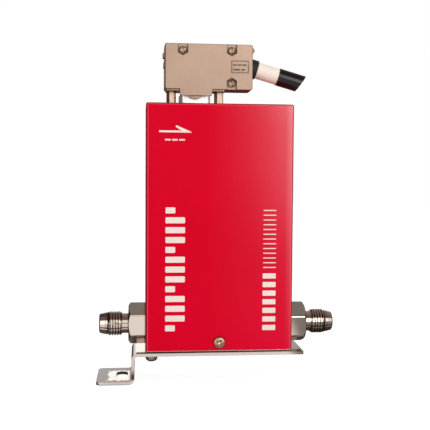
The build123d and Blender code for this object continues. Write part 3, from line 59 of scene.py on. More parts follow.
# %% [markdown]
# ## The camera
# The controller is seen from the front, from a little above its middle, and slightly turned.
# A focal length counted in pixels becomes a lens by the ratio of the sensor to the image.

# %% Camera
IMAGE_SIDE = 430
FOCAL_PIXELS = 760.8
CAMERA_PLACE = (0.01382, -0.40115, 0.10506)
CAMERA_YAW = 5.659
CAMERA_PITCH = -2.665
CAMERA_ROLL = -0.384

camera_data = bpy.data.cameras.new("front_view")
camera_data.sensor_width = 36.0
camera_data.lens = FOCAL_PIXELS / IMAGE_SIDE * camera_data.sensor_width
camera_data.clip_start = 0.01
camera_data.clip_end = 20.0
camera = bpy.data.objects.new("front_view", camera_data)
camera.location = CAMERA_PLACE
camera.rotation_mode = "XYZ"
camera.rotation_euler = (math.radians(90 + CAMERA_PITCH), math.radians(CAMERA_ROLL),
                         math.radians(-CAMERA_YAW))
bpy.context.scene.collection.objects.link(camera)
bpy.context.scene.camera = camera
print("lens:", round(camera_data.lens, 2), "mm")


# %% [markdown]
# ## Node helpers
# Materials are trees of nodes. These few functions add a node, set its sockets by name and
# wire it up, so that each finish below reads as a short recipe.

# %% Helpers for node trees
def linear(red, green, blue):
    """A screen colour from 0 to 255 as the linear colour that shaders use:
    c / 12.92 below 0.04045, otherwise ((c + 0.055) / 1.055) to the power 2.4."""
    c = np.array([red, green, blue]) / 255
    value = np.where(c <= 0.04045, c / 12.92, ((c + 0.055) / 1.055) ** 2.4)
    return (float(value[0]), float(value[1]), float(value[2]), 1.0)


def add(tree, kind, settings=None, **sockets):
    """Adds a node. Settings are its properties; sockets are values or links for its inputs."""
    made = tree.nodes.new("ShaderNode" + kind)
    for name, value in (settings or {}).items():
        setattr(made, name, value)
    for name, value in sockets.items():
        plug(tree, made.inputs[name.replace("_", " ")], value)
    return made


def plug(tree, socket, value):
    """Links a socket to another node's output, or sets its own value."""
    if isinstance(value, bpy.types.NodeSocket):
        tree.links.new(value, socket)
    else:
        socket.default_value = value


def calc(tree, operation, first, second=0.0, clamp=False):
    """One step of arithmetic on two numbers or outputs."""
    made = add(tree, "Math", {"operation": operation, "use_clamp": clamp})
    plug(tree, made.inputs[0], first)
    plug(tree, made.inputs[1], second)
    return made.outputs[0]


def blend(tree, share, first, second):
    """A colour between two colours, by the share of the second."""
    made = add(tree, "Mix", {"data_type": "RGBA", "clamp_factor": True})
    plug(tree, made.inputs["Factor"], share)
    plug(tree, made.inputs["A"], first)
    plug(tree, made.inputs["B"], second)
    return made.outputs["Result"]


def spread(tree, value, low, high, out_low=0.0, out_high=1.0):
    """Maps a value from one range to another, and stops at its ends."""
    made = add(tree, "MapRange", {"clamp": True})
    plug(tree, made.inputs["Value"], value)
    plug(tree, made.inputs["From Min"], low)
    plug(tree, made.inputs["From Max"], high)
    plug(tree, made.inputs["To Min"], out_low)
    plug(tree, made.inputs["To Max"], out_high)
    return made.outputs["Result"]


# %% [markdown]
# ## Shared effects
# Grain, edge rub, dust on upward faces and painted shade in corners appear on many finishes, so each is built
# once as a node group that puts out a mask. Their noise reads object coordinates, so it stays on the piece.

# %% Node groups: grain, edge rub, dust, cavity for painted shade
def new_group(name, inputs, outputs):
    """An empty shader group with named number sockets."""
    tree = bpy.data.node_groups.new(name, "ShaderNodeTree")
    for label, value in inputs:
        kind = "NodeSocketVector" if isinstance(value, tuple) else "NodeSocketFloat"
        socket = tree.interface.new_socket(label, in_out="INPUT", socket_type=kind)
        socket.default_value = value
    for label in outputs:
        tree.interface.new_socket(label, in_out="OUTPUT", socket_type="NodeSocketFloat")
    return tree, tree.nodes.new("NodeGroupInput"), tree.nodes.new("NodeGroupOutput")


def build_grain():
    """Noise stretched by a vector of grains per metre, from 0 to 1."""
    numbers = [("Density", (900.0, 900.0, 900.0)), ("Detail", 3.0)]
    tree, given, result = new_group("grain", numbers, ["Grain"])
    place = add(tree, "TexCoord")
    scaled = add(tree, "VectorMath", {"operation": "MULTIPLY"})
    tree.links.new(place.outputs["Object"], scaled.inputs[0])
    tree.links.new(given.outputs["Density"], scaled.inputs[1])
    noise = add(tree, "TexNoise", Vector=scaled.outputs[0], Scale=1.0, Detail=given.outputs["Detail"])
    tree.links.new(noise.outputs["Fac"], result.inputs["Grain"])
    return tree


def build_edge_rub():
    """A mask of the outer edges: how far a bevelled normal leans from the true one, broken up by noise."""
    numbers = [("Width", 0.0004), ("Reach", 0.5), ("Patches", 400.0)]
    tree, given, result = new_group("edge_rub", numbers, ["Rub"])
    soft = add(tree, "Bevel", {"samples": 6}, Radius=given.outputs["Width"])
    true = add(tree, "NewGeometry")
    dot = add(tree, "VectorMath", {"operation": "DOT_PRODUCT"})
    tree.links.new(soft.outputs["Normal"], dot.inputs[0])
    tree.links.new(true.outputs["Normal"], dot.inputs[1])
    lean = calc(tree, "SUBTRACT", 1.0, dot.outputs["Value"], clamp=True)
    edge = spread(tree, lean, 0.01, 0.16)
    place = add(tree, "TexCoord")
    noise = add(tree, "TexNoise", Vector=place.outputs["Object"], Scale=given.outputs["Patches"], Detail=4.0)
    patch = spread(tree, noise.outputs["Fac"], calc(tree, "SUBTRACT", 0.75, given.outputs["Reach"]), 0.75)
    tree.links.new(calc(tree, "MULTIPLY", edge, patch), result.inputs["Rub"])
    return tree


def build_dust():
    """A mask of faces that look up, thinned by noise."""
    tree, given, result = new_group("dust", [("Amount", 0.2)], ["Dust"])
    true = add(tree, "NewGeometry")
    parts = add(tree, "SeparateXYZ", Vector=true.outputs["Normal"])
    up = spread(tree, parts.outputs["Z"], 0.5, 0.95)
    place = add(tree, "TexCoord")
    noise = add(tree, "TexNoise", Vector=place.outputs["Object"], Scale=260.0, Detail=5.0)
    thin = spread(tree, noise.outputs["Fac"], 0.38, 0.7)
    lying = calc(tree, "MULTIPLY", calc(tree, "MULTIPLY", up, thin), given.outputs["Amount"])
    tree.links.new(lying, result.inputs["Dust"])
    return tree


def build_cavity():
    """A mask of corners and gaps, where nearby surfaces shut out the open air within a distance; finishes
    paint shade by it.
    """
    tree, given, result = new_group("cavity", [("Distance", 0.0015), ("Depth", 1.0)], ["Cavity"])
    open_air = add(tree, "AmbientOcclusion", {"samples": 8}, Distance=given.outputs["Distance"])
    shut = spread(tree, calc(tree, "SUBTRACT", 1.0, open_air.outputs["AO"]), 0.12, 0.75)
    tree.links.new(calc(tree, "MULTIPLY", shut, given.outputs["Depth"]), result.inputs["Cavity"])
    return tree


GRAIN = build_grain()
EDGE_RUB = build_edge_rub()
DUST = build_dust()
CAVITY = build_cavity()


def use(tree, group, **sockets):
    """Places a shared group and returns its only output."""
    made = tree.nodes.new("ShaderNodeGroup")
    made.node_tree = group
    for name, value in sockets.items():
        plug(tree, made.inputs[name], value)
    return made.outputs[0]


print("shared effects:", [g.name for g in (GRAIN, EDGE_RUB, DUST, CAVITY)])


# %% [markdown]
# ## Finishes
# One recipe serves most of the metals and mouldings: a base colour that drifts between two
# tones, grain in the bump and in the roughness, an edge colour, a little dust and painted shade
# in the corners and gaps. The special ones, such as the paint, add to it.

# %% The common recipe
def new_finish(name):
    """An empty material with its Principled shader and output."""
    material = bpy.data.materials.new(name)
    material.use_nodes = True
    tree = material.node_tree
    tree.nodes.clear()
    shader = add(tree, "BsdfPrincipled")
    output = add(tree, "OutputMaterial", Surface=shader.outputs[0])
    output.target = "ALL"
    return material, tree, shader


def surface_finish(name, tones, edge_tone, metallic, roughness, grain, bump, rub=(0.0003, 0.3), dust=0.08,
                   drift=60.0, corner_shade=0.5, shade_tone=(46, 34, 27), reach=0.0012):
    """Two tones drift into each other; grain is grains per metre on each axis; bump is its depth in mm;
    roughness is its low and high value; rub is the width in metres and reach of the edges that take the
    edge colour, which shows wear on most finishes and is painted dark shade on a few; the last three
    arguments set how much of a shade colour is painted into corners and gaps as painted shade, out to
    reach in metres."""
    material, tree, shader = new_finish(name)
    shader.inputs["Metallic"].default_value = metallic
    clouds = use(tree, GRAIN, Density=(drift, drift, drift), Detail=4.0)
    fine = use(tree, GRAIN, Density=grain, Detail=3.0)
    colour = blend(tree, spread(tree, clouds, 0.3, 0.7), tones[0], tones[1])
    # the edge colour is wear on most finishes and painted dark shade on the hood, its shell and the bracket
    edge_marks = use(tree, EDGE_RUB, Width=rub[0], Reach=rub[1], Patches=500.0)
    colour = blend(tree, edge_marks, colour, edge_tone)
    lying = use(tree, DUST, Amount=dust)
    colour = blend(tree, lying, colour, linear(176, 168, 158))
    # painted shade: corners and gaps are darkened towards the shade colour
    shaded_corners = use(tree, CAVITY, Distance=reach, Depth=corner_shade)
    colour = blend(tree, shaded_corners, colour, linear(*shade_tone))
    plug(tree, shader.inputs["Base Color"], colour)
    mixed = calc(tree, "ADD", calc(tree, "MULTIPLY", fine, 0.6), calc(tree, "MULTIPLY", clouds, 0.4))
    rough = spread(tree, mixed, 0.3, 0.7, roughness[0], roughness[1])
    rough = calc(tree, "ADD", rough, calc(tree, "MULTIPLY", lying, 0.4), clamp=True)
    plug(tree, shader.inputs["Roughness"], rough)
    raised = add(tree, "Bump", Strength=0.6, Distance=bump * MM, Height=fine)
    plug(tree, shader.inputs["Normal"], raised.outputs["Normal"])
    return material, tree, shader


# %% Paint of the cover
SHINE_X = (0.047, 0.090)
SHINE_Z = (0.015, 0.134)
SHINE_CURVE = 1.3
HEIGHT_CURVE = 0.75
# The band along the outlet edge where a lighter pink is painted as a painted highlight.
RIM_HIGHLIGHT_X = (0.0886, 0.0916)
TOP_Z = (0.130, 0.143)


def make_red_paint():
    """Stoved red paint: a faint orange-peel skin and light scuffed edges. The clear top layer is dulled
    by handling, except towards the outlet side and the top, where it still shines. The base colour is
    painted pinker towards the outlet side as a painted sheen and lighter along the outlet edge as a
    painted highlight; the bends of the front show a light painted highlight line with a painted shade
    line outside it, and corners and gaps get painted shade."""
    material, tree, shader = new_finish("red_paint")
    clouds = use(tree, GRAIN, Density=(22.0, 22.0, 22.0), Detail=3.0)
    peel = use(tree, GRAIN, Density=(1300.0, 1300.0, 1300.0), Detail=1.5)
    colour = blend(tree, spread(tree, clouds, 0.3, 0.7), linear(217, 1, 35), linear(223, 3, 42))
    edge_marks = use(tree, EDGE_RUB, Width=0.0005, Reach=0.10, Patches=180.0)
    colour = blend(tree, calc(tree, "MULTIPLY", edge_marks, 0.6), colour, linear(240, 128, 138))
    lying = use(tree, DUST, Amount=0.10)
    colour = blend(tree, lying, colour, linear(214, 120, 126))
    # painted shade in corners and gaps
    shaded_corners = use(tree, CAVITY, Distance=0.0012, Depth=0.8)
    colour = blend(tree, shaded_corners, colour, linear(96, 22, 22))
    place = add(tree, "TexCoord")
    parts = add(tree, "SeparateXYZ", Vector=place.outputs["Object"])
    along = spread(tree, parts.outputs["X"], *SHINE_X)
    height = calc(tree, "POWER", spread(tree, parts.outputs["Z"], *SHINE_Z), HEIGHT_CURVE)
    rim = calc(tree, "MULTIPLY", spread(tree, parts.outputs["X"], *RIM_HIGHLIGHT_X), height)
    # painted sheen: the base colour turns pinker towards the outlet side; a lighter pink along the outlet
    # edge is a painted highlight
    colour = blend(tree, calc(tree, "MULTIPLY", along, 0.5), colour, linear(228, 14, 60))
    colour = blend(tree, calc(tree, "MULTIPLY", rim, 0.30), colour, linear(250, 150, 158))
    lean = add(tree, "SeparateXYZ", Vector=add(tree, "NewGeometry").outputs["Normal"])
    aside = calc(tree, "ABSOLUTE", lean.outputs["X"])
    inlet_side = spread(tree, lean.outputs["X"], -0.1, 0.1, 0.85, 1.0)
    facing = spread(tree, lean.outputs["Y"], -0.12, -0.02, 1.0, 0.0)
    turning = calc(tree, "MAXIMUM", aside, lean.outputs["Z"])
    # painted highlight: a light line on the bends of the front, a little weaker on the inlet side
    bend_highlight = calc(tree, "MULTIPLY", spread(tree, turning, 0.04, 0.18),
                spread(tree, turning, 0.30, 0.42, 1.0, 0.0))
    bend_highlight = calc(tree, "MULTIPLY", calc(tree, "MULTIPLY", bend_highlight, inlet_side), facing)
    # painted shade: a dark line on the bends outside the light one, where the clear layer is left off too
    dark = calc(tree, "MULTIPLY", spread(tree, turning, 0.36, 0.52), facing)
    colour = blend(tree, calc(tree, "MULTIPLY", bend_highlight, 0.62), colour, linear(250, 104, 124))
    colour = blend(tree, calc(tree, "MULTIPLY", dark, 0.80), colour, linear(118, 20, 40))
    plug(tree, shader.inputs["Base Color"], colour)
    plug(tree, shader.inputs["Roughness"], spread(tree, clouds, 0.3, 0.7, 0.40, 0.48))
    shader.inputs["Specular IOR Level"].default_value = 0.03
    sideways = calc(tree, "POWER", along, SHINE_CURVE)
    shine = calc(tree, "MULTIPLY", calc(tree, "MULTIPLY", sideways, height), 0.72)
    top = calc(tree, "MULTIPLY", spread(tree, parts.outputs["Z"], *TOP_Z), sideways)
    shine = calc(tree, "ADD", shine, calc(tree, "MULTIPLY", top, 0.28), clamp=True)
    plug(tree, shader.inputs["Coat Weight"], calc(tree, "MULTIPLY", shine, calc(tree, "SUBTRACT", 1.0, dark)))
    plug(tree, shader.inputs["Coat Roughness"], spread(tree, clouds, 0.3, 0.7, 0.16, 0.22))
    shader.inputs["Coat IOR"].default_value = 1.6
    skin = add(tree, "Bump", Strength=0.2, Distance=0.006 * MM, Height=peel)
    plug(tree, shader.inputs["Normal"], skin.outputs["Normal"])
    plug(tree, shader.inputs["Coat Normal"], skin.outputs["Normal"])
    return material


red_paint = make_red_paint()

# %% Steels
block_steel, _, _ = surface_finish(
    "block_steel", (linear(206, 192, 180), linear(190, 176, 165)), linear(240, 232, 222),
    1.0, (0.26, 0.40), (120.0, 2600.0, 2600.0), 0.012, rub=(0.0003, 0.5), dust=0.05)
screw_steel, _, _ = surface_finish(
    "screw_steel", (linear(206, 186, 170), linear(176, 158, 144)), linear(244, 230, 216),
    1.0, (0.16, 0.32), (1800.0, 1800.0, 1800.0), 0.008, rub=(0.0002, 0.6), dust=0.08)
# painted shade: a darker copy of the screw steel for the screws under the bracket, with strong painted shade
# in their corners
shaded_screw_steel, _, _ = surface_finish(
    "shaded_screw_steel", (linear(188, 174, 164), linear(150, 138, 130)), linear(250, 240, 232),
    1.0, (0.06, 0.14), (1800.0, 1800.0, 1800.0), 0.006, rub=(0.0002, 0.5), dust=0.03, corner_shade=0.8)
soft_iron, _, _ = surface_finish(
    "soft_iron", (linear(150, 148, 146), linear(128, 126, 126)), linear(206, 204, 200),
    1.0, (0.26, 0.42), (300.0, 300.0, 3200.0), 0.010)

# %% Cast, plated and bare metals of the connector
# painted shade: the hood's edges take a dark edge colour and its corners and gaps are darkened strongly
hood_cast, _, _ = surface_finish(
    "hood_cast", (linear(180, 155, 137), linear(174, 149, 132)), linear(98, 78, 64),
    1.0, (0.40, 0.54), (2400.0, 2400.0, 2400.0), 0.014, rub=(0.0004, 0.9), dust=0.03, drift=45.0,
    corner_shade=1.0, shade_tone=(58, 38, 26), reach=0.0018)
# painted shade: a darker copy of the hood's cast finish for the shell and the cable clamp, with dark painted
# shade on the edges
hood_cast_shaded, _, _ = surface_finish(
    "hood_cast_shaded", (linear(160, 136, 118), linear(146, 123, 106)), linear(92, 72, 58),
    1.0, (0.42, 0.56), (2400.0, 2400.0, 2400.0), 0.018, rub=(0.0004, 0.8), dust=0.03, drift=45.0,
    shade_tone=(58, 38, 26))
warm_plate, _, _ = surface_finish(
    "warm_plate", (linear(164, 143, 127), linear(154, 134, 119)), linear(206, 186, 168),
    1.0, (0.30, 0.42), (700.0, 700.0, 1800.0), 0.008, rub=(0.0002, 0.3), dust=0.02, corner_shade=0.7)
shell_plate, _, _ = surface_finish(
    "shell_plate", (linear(254, 253, 250), linear(248, 247, 244)), linear(254, 253, 250),
    1.0, (0.30, 0.42), (900.0, 900.0, 900.0), 0.004, dust=0.02, corner_shade=0.1)
# painted shade: the dark ring round each head, in its notch, is painted into the corners
hood_screw, _, _ = surface_finish(
    "hood_screw", (linear(196, 168, 142), linear(178, 150, 126)), linear(224, 200, 176),
    1.0, (0.26, 0.38), (1800.0, 1800.0, 1800.0), 0.006, rub=(0.0002, 0.4), dust=0.02, corner_shade=0.9,
    shade_tone=(48, 32, 24))
contact_gold, _, _ = surface_finish(
    "contact_gold", (linear(226, 184, 98), linear(208, 164, 80)), linear(246, 214, 142),
    1.0, (0.16, 0.30), (2600.0, 2600.0, 2600.0), 0.005, dust=0.0)
copper_wire, _, _ = surface_finish(
    "copper_wire", (linear(196, 104, 62), linear(168, 82, 48)), linear(226, 142, 98),
    1.0, (0.24, 0.40), (200.0, 200.0, 5200.0), 0.060, dust=0.0)
can_aluminium, _, _ = surface_finish(
    "can_aluminium", (linear(204, 204, 206), linear(184, 184, 188)), linear(236, 236, 238),
    1.0, (0.24, 0.38), (1800.0, 260.0, 1800.0), 0.008, dust=0.02)

# %% Three finishes that change over a piece
def recolour(tree, shader, share, colour):
    """Lays one more colour over whatever already feeds the base colour, by a share."""
    before = shader.inputs["Base Color"].links[0].from_socket
    plug(tree, shader.inputs["Base Color"], blend(tree, share, before, colour))


def make_plug_plate():
    """The plug's tinned shell is bright on its D part and painted a darker tan above the flange's top as
    painted shade.
    """
    plug_plate, tree, shader = surface_finish(
        "plug_plate", (linear(254, 253, 250), linear(248, 247, 244)), linear(254, 253, 250),
        1.0, (0.30, 0.42), (900.0, 900.0, 900.0), 0.004, dust=0.02, corner_shade=0.1)
    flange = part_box("jack_posts")[1][2]
    parts = add(tree, "SeparateXYZ", Vector=add(tree, "TexCoord").outputs["Object"])
    # painted shade: tan above the flange's top
    recolour(tree, shader, spread(tree, parts.outputs["Z"], flange - 0.0003, flange), linear(166, 138, 114))
    return plug_plate


def make_turned_steel():
    """Bright turned steel; the flanks of the threads, which lean along the axis, are painted dark as painted
    shade, and corners and gaps get strong painted shade.
    """
    turned_steel, tree, shader = surface_finish(
        "turned_steel", (linear(241, 228, 216), linear(231, 217, 205)), linear(250, 240, 230),
        1.0, (0.08, 0.14), (5200.0, 240.0, 240.0), 0.005, rub=(0.00025, 0.4), dust=0.03, corner_shade=0.85,
        shade_tone=(40, 30, 25))
    lean = add(tree, "SeparateXYZ", Vector=add(tree, "NewGeometry").outputs["Normal"])
    aside = calc(tree, "ABSOLUTE", lean.outputs["X"])
    flank_shade = calc(tree, "MULTIPLY", spread(tree, aside, 0.30, 0.55), spread(tree, aside, 0.80, 0.95, 1.0, 0.0))
    # painted shade on the thread flanks
    recolour(tree, shader, calc(tree, "MULTIPLY", flank_shade, 0.85), linear(52, 40, 34))
    return turned_steel


# A patch round the slot keeps the bright steel as a painted highlight.
HIGHLIGHT_MIDDLE = (0.0045, -0.0016)
HIGHLIGHT_X = (0.0060, 0.0072)
HIGHLIGHT_Y = (0.0096, 0.0106)
FRAY_DEPTH = 0.006
FOOT_Z = (0.0030, 0.0035)
# The front of the foot, where a warmer tone is painted as a painted reflection.
FOOT_REFLECTION_Y = (-0.0125, -0.0105)


def make_bracket_steel():
    """Bright cold-rolled sheet whose edges take a dark edge colour as painted shade. The foot's top is
    painted a flat grey as painted shade, browner at the front as a painted reflection, but for a patch round
    the slot that keeps the bright steel as a painted highlight; noise frays the patch's border."""
    # the dark edge colour is painted shade
    bracket_steel, tree, shader = surface_finish(
        "bracket_steel", (linear(240, 234, 228), linear(226, 219, 212)), linear(96, 84, 74),
        1.0, (0.05, 0.11), (160.0, 2200.0, 900.0), 0.004, rub=(0.00032, 0.85), dust=0.0)
    parts = add(tree, "SeparateXYZ", Vector=add(tree, "TexCoord").outputs["Object"])
    fray = use(tree, GRAIN, Density=(480.0, 240.0, 480.0), Detail=4.0)
    wander = calc(tree, "MULTIPLY", calc(tree, "SUBTRACT", fray, 0.5), FRAY_DEPTH)
    x_off = calc(tree, "ABSOLUTE", calc(tree, "SUBTRACT", parts.outputs["X"], HIGHLIGHT_MIDDLE[0]))
    y_off = calc(tree, "ABSOLUTE", calc(tree, "SUBTRACT", parts.outputs["Y"], HIGHLIGHT_MIDDLE[1]))
    inside_x = spread(tree, calc(tree, "ADD", x_off, wander), *HIGHLIGHT_X, 1.0, 0.0)
    inside_y = spread(tree, calc(tree, "ADD", y_off, wander), *HIGHLIGHT_Y, 1.0, 0.0)
    # painted highlight: the patch round the slot
    bright = calc(tree, "MULTIPLY", inside_x, inside_y)
    lean = add(tree, "SeparateXYZ", Vector=add(tree, "NewGeometry").outputs["Normal"])
    up = spread(tree, lean.outputs["Z"], 0.7, 0.9)
    on_foot = calc(tree, "MULTIPLY", up, spread(tree, parts.outputs["Z"], *FOOT_Z, 1.0, 0.0))
    # painted shade: the foot's top outside the patch turns flat grey and loses most of its metal
    painted_foot_shade = calc(tree, "MULTIPLY", on_foot, calc(tree, "SUBTRACT", 1.0, bright))
    # painted reflection: a warmer tone at the foot's front
    front = spread(tree, parts.outputs["Y"], *FOOT_REFLECTION_Y, 1.0, 0.0)
    tone = blend(tree, front, linear(146, 141, 143), linear(158, 140, 120))
    recolour(tree, shader, painted_foot_shade, tone)
    shader.inputs["Specular IOR Level"].default_value = 0.1
    plug(tree, shader.inputs["Metallic"], calc(tree, "SUBTRACT", 1.0, calc(tree, "MULTIPLY", painted_foot_shade, 0.9)))
    return bracket_steel


plug_plate = make_plug_plate()
turned_steel = make_turned_steel()
bracket_steel = make_bracket_steel()

# %% Mouldings, rubber and insulation
black_moulding, _, _ = surface_finish(
    "black_moulding", (linear(34, 33, 34), linear(26, 25, 26)), linear(70, 68, 68),
    0.0, (0.42, 0.58), (2600.0, 2600.0, 2600.0), 0.020, rub=(0.0003, 0.3))
seal_rubber, _, _ = surface_finish(
    "seal_rubber", (linear(38, 36, 35), linear(28, 27, 26)), linear(60, 58, 56),
    0.0, (0.55, 0.75), (1800.0, 1800.0, 1800.0), 0.015)
lead_insulation, _, _ = surface_finish(
    "lead_insulation", (linear(222, 214, 198), linear(206, 196, 178)), linear(232, 226, 212),
    0.0, (0.36, 0.50), (1400.0, 1400.0, 1400.0), 0.010)
board_green, _, _ = surface_finish(
    "board_green", (linear(22, 84, 48), linear(16, 66, 38)), linear(150, 140, 88),
    0.0, (0.22, 0.36), (700.0, 700.0, 700.0), 0.020, rub=(0.0003, 0.5), dust=0.05)
# painted shade: a brown tone is painted into the cable's corners and gaps
sheath_cream, _, _ = surface_finish(
    "sheath_cream", (linear(255, 245, 233), linear(249, 236, 223)), linear(255, 250, 242),
    0.0, (0.40, 0.52), (90.0, 900.0, 900.0), 0.040, dust=0.03, drift=160.0, corner_shade=0.25, shade_tone=(130, 106, 88))
tape_vinyl, _, _ = surface_finish(
    "tape_vinyl", (linear(24, 18, 16), linear(15, 11, 10)), linear(54, 48, 46),
    0.0, (0.20, 0.34), (260.0, 1500.0, 1500.0), 0.060, rub=(0.0003, 0.3), dust=0.03, drift=220.0)
print_ink, _, _ = surface_finish(
    "print_ink", (linear(250, 234, 226), linear(242, 226, 218)), linear(252, 240, 234),
    0.0, (0.45, 0.58), (900.0, 900.0, 900.0), 0.006, rub=(0.0002, 0.2), dust=0.02, corner_shade=0.0)
stamp_ink, _, _ = surface_finish(
    "stamp_ink", (linear(118, 96, 80), linear(104, 84, 70)), linear(130, 108, 92),
    0.0, (0.50, 0.62), (900.0, 900.0, 900.0), 0.006, rub=(0.0002, 0.2), dust=0.02, corner_shade=0.0)
bundle_sheath, _, _ = surface_finish(
    "bundle_sheath", (linear(196, 190, 184), linear(120, 116, 112)), linear(220, 214, 208),
    0.0, (0.40, 0.55), (700.0, 700.0, 700.0), 0.030)


# %% [markdown]
# ## Surfaces from arrays
# Every new form is a grid of points: rows run along the piece and columns run round it. The
# points are worked out for the whole grid at once, and the faces are the grid's cells.

# %% Grid to mesh
def grid_faces(rows, columns, loop_rows, first=0):
    """Quads between neighbouring grid points; columns always close round, rows only if asked."""
    last = rows if loop_rows else rows - 1
    r, c = np.meshgrid(np.arange(last), np.arange(columns), indexing="ij")
    below = (r + 1) % rows
    beside = (c + 1) % columns
    quads = np.stack([r * columns + c, r * columns + beside,
                      below * columns + beside, below * columns + c], -1)
    return first + quads.reshape(-1, 4)


def volume_of(points, faces):
    """Signed volume: a sixth of the sum of the triple products over the quads' two triangles."""
    a, b, c, d = (points[faces[:, k]] for k in range(4))
    return (np.einsum("ij,ij->", a, np.cross(b, c)) + np.einsum("ij,ij->", a, np.cross(c, d))) / 6


def closed_grid(points, loop_rows=False):
    """A closed skin from a grid of shape (rows, columns, 3): open ends are closed by a centre point,
    and the faces are turned so that the volume is positive."""
    rows, columns = points.shape[:2]
    flat = points.reshape(-1, 3)
    faces = grid_faces(rows, columns, loop_rows)
    if not loop_rows:
        ring = np.arange(columns)
        beside = (ring + 1) % columns
        ends = np.stack([points[0].mean(0), points[-1].mean(0)])
        flat = np.concatenate([flat, ends])
        start, stop = rows * columns, rows * columns + 1
        top = (rows - 1) * columns
        faces = np.concatenate([faces,
                                np.stack([np.full(columns, start), beside, ring, ring], -1),
                                np.stack([top + ring, top + beside, np.full(columns, stop),
                                          np.full(columns, stop)], -1)])
    if volume_of(flat, faces) < 0:
        faces = faces[:, ::-1]
    return flat, faces


def join_grids(parts):
    """Several (points, faces) as one."""
    points, faces, first = [], [], 0
    for p, f in parts:
        points.append(p)
        faces.append(f + first)
        first += len(p)
    return np.concatenate(points), np.concatenate(faces)


def make_piece(name, points, faces, material, slot, body="controller", sharp=38.0):
    """A smooth-shaded mesh object with sharp edges above an angle, riding on a body."""
    mesh = bpy.data.meshes.new(name)
    cells = [list(dict.fromkeys(cell)) for cell in faces.tolist()]
    mesh.from_pydata(points.tolist(), [], cells)
    mesh.update()
    mesh.shade_smooth()
    mesh.set_sharp_from_angle(angle=math.radians(sharp))
    mesh.materials.append(material)
    piece = bpy.data.objects.new(name, mesh)
    bpy.context.scene.collection.objects.link(piece)
    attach(piece, body)
    print(name, "points", len(points), "faces", len(cells))
    return piece


# %% [markdown]
# ## The glands
# Each end of the block has a turned gland: hexagon, relief neck, thread and a rounded nose. A
# thread is the part that CAD leaves plain, so the whole gland is made again here as one closed
# surface whose radius depends on the distance from the tip and on the angle.

# %% Sizes of a gland
NOSE_LENGTH = 4.3
THREAD_LENGTH = 7.5
NECK_LENGTH = 3.4
HEX_LENGTH = 8.8
SHANK_LENGTH = 8.5
HEX_FLATS = 19.0
HEX_CHAMFER = 1.2
CORNER_BREAK = math.radians(1.5)
THREAD_CREST = 6.35
THREAD_DEPTH = 0.62
THREAD_PITCH = 1.41
THREAD_LEAD = 1.3
NECK_RADIUS = 5.25
NOSE_ROOT = 5.9
NOSE_TIP = 5.2
NOSE_ROUND = 1.0
BORE = 2.3
RECESS = 4.4
RECESS_DEPTH = 0.9
BEAD = 3.4
BEAD_SECTION = 0.5
SHANK_RADIUS = 5.7
SHANK_CHAMFER = 0.4
HEX_BACK_CHAMFER = 0.2
THREAD_ROWS = 96


# %% The gland's surface
def facet_angles(corner):
    """Angles round a hexagon: each sixth starts at a corner, with a close pair on each side of it."""
    inner = np.linspace(CORNER_BREAK, math.pi / 3 - CORNER_BREAK, 23)
    one = np.concatenate([[0.0], inner])
    return (corner + np.arange(6)[:, None] * math.pi / 3 + one[None, :]).ravel()


def hexagon_radius(angle, corner):
    """Half the flats over the cosine of the angle to the nearest flat's middle, corners cut back."""
    off = np.mod(angle - corner, math.pi / 3) - math.pi / 6
    limit = HEX_FLATS / 2 / math.cos(math.pi / 6 - CORNER_BREAK)
    return np.minimum(HEX_FLATS / 2 / np.cos(off), limit)


def thread_radius(along, angle, hand):
    """Root plus depth times a ridge with rounded crest; the ridge repeats every pitch and climbs one
    pitch a turn, and a cone at each end leads it in."""
    turn = along / THREAD_PITCH - hand * angle / (2 * math.pi)
    wave = np.abs(2 * np.mod(turn, 1.0) - 1)
    ridge = np.clip(2.4 * wave - 0.30, 0.0, 1.0)
    ridge = ridge * ridge * (3 - 2 * ridge)
    root = THREAD_CREST - THREAD_DEPTH
    from_end = np.minimum(along, THREAD_LENGTH - along)
    lead = root - 0.1 + THREAD_DEPTH * from_end / THREAD_LEAD * 1.6
    return np.minimum(root + THREAD_DEPTH * ridge, np.maximum(lead, root - 0.35))


def arc(centre, radius, start, stop, steps):
    """Points (along, radius) on a round corner, angles in degrees from the outward direction."""
    a = np.radians(np.linspace(start, stop, steps))
    return [(centre[0] - radius * math.sin(t), centre[1] + radius * math.cos(t)) for t in a]


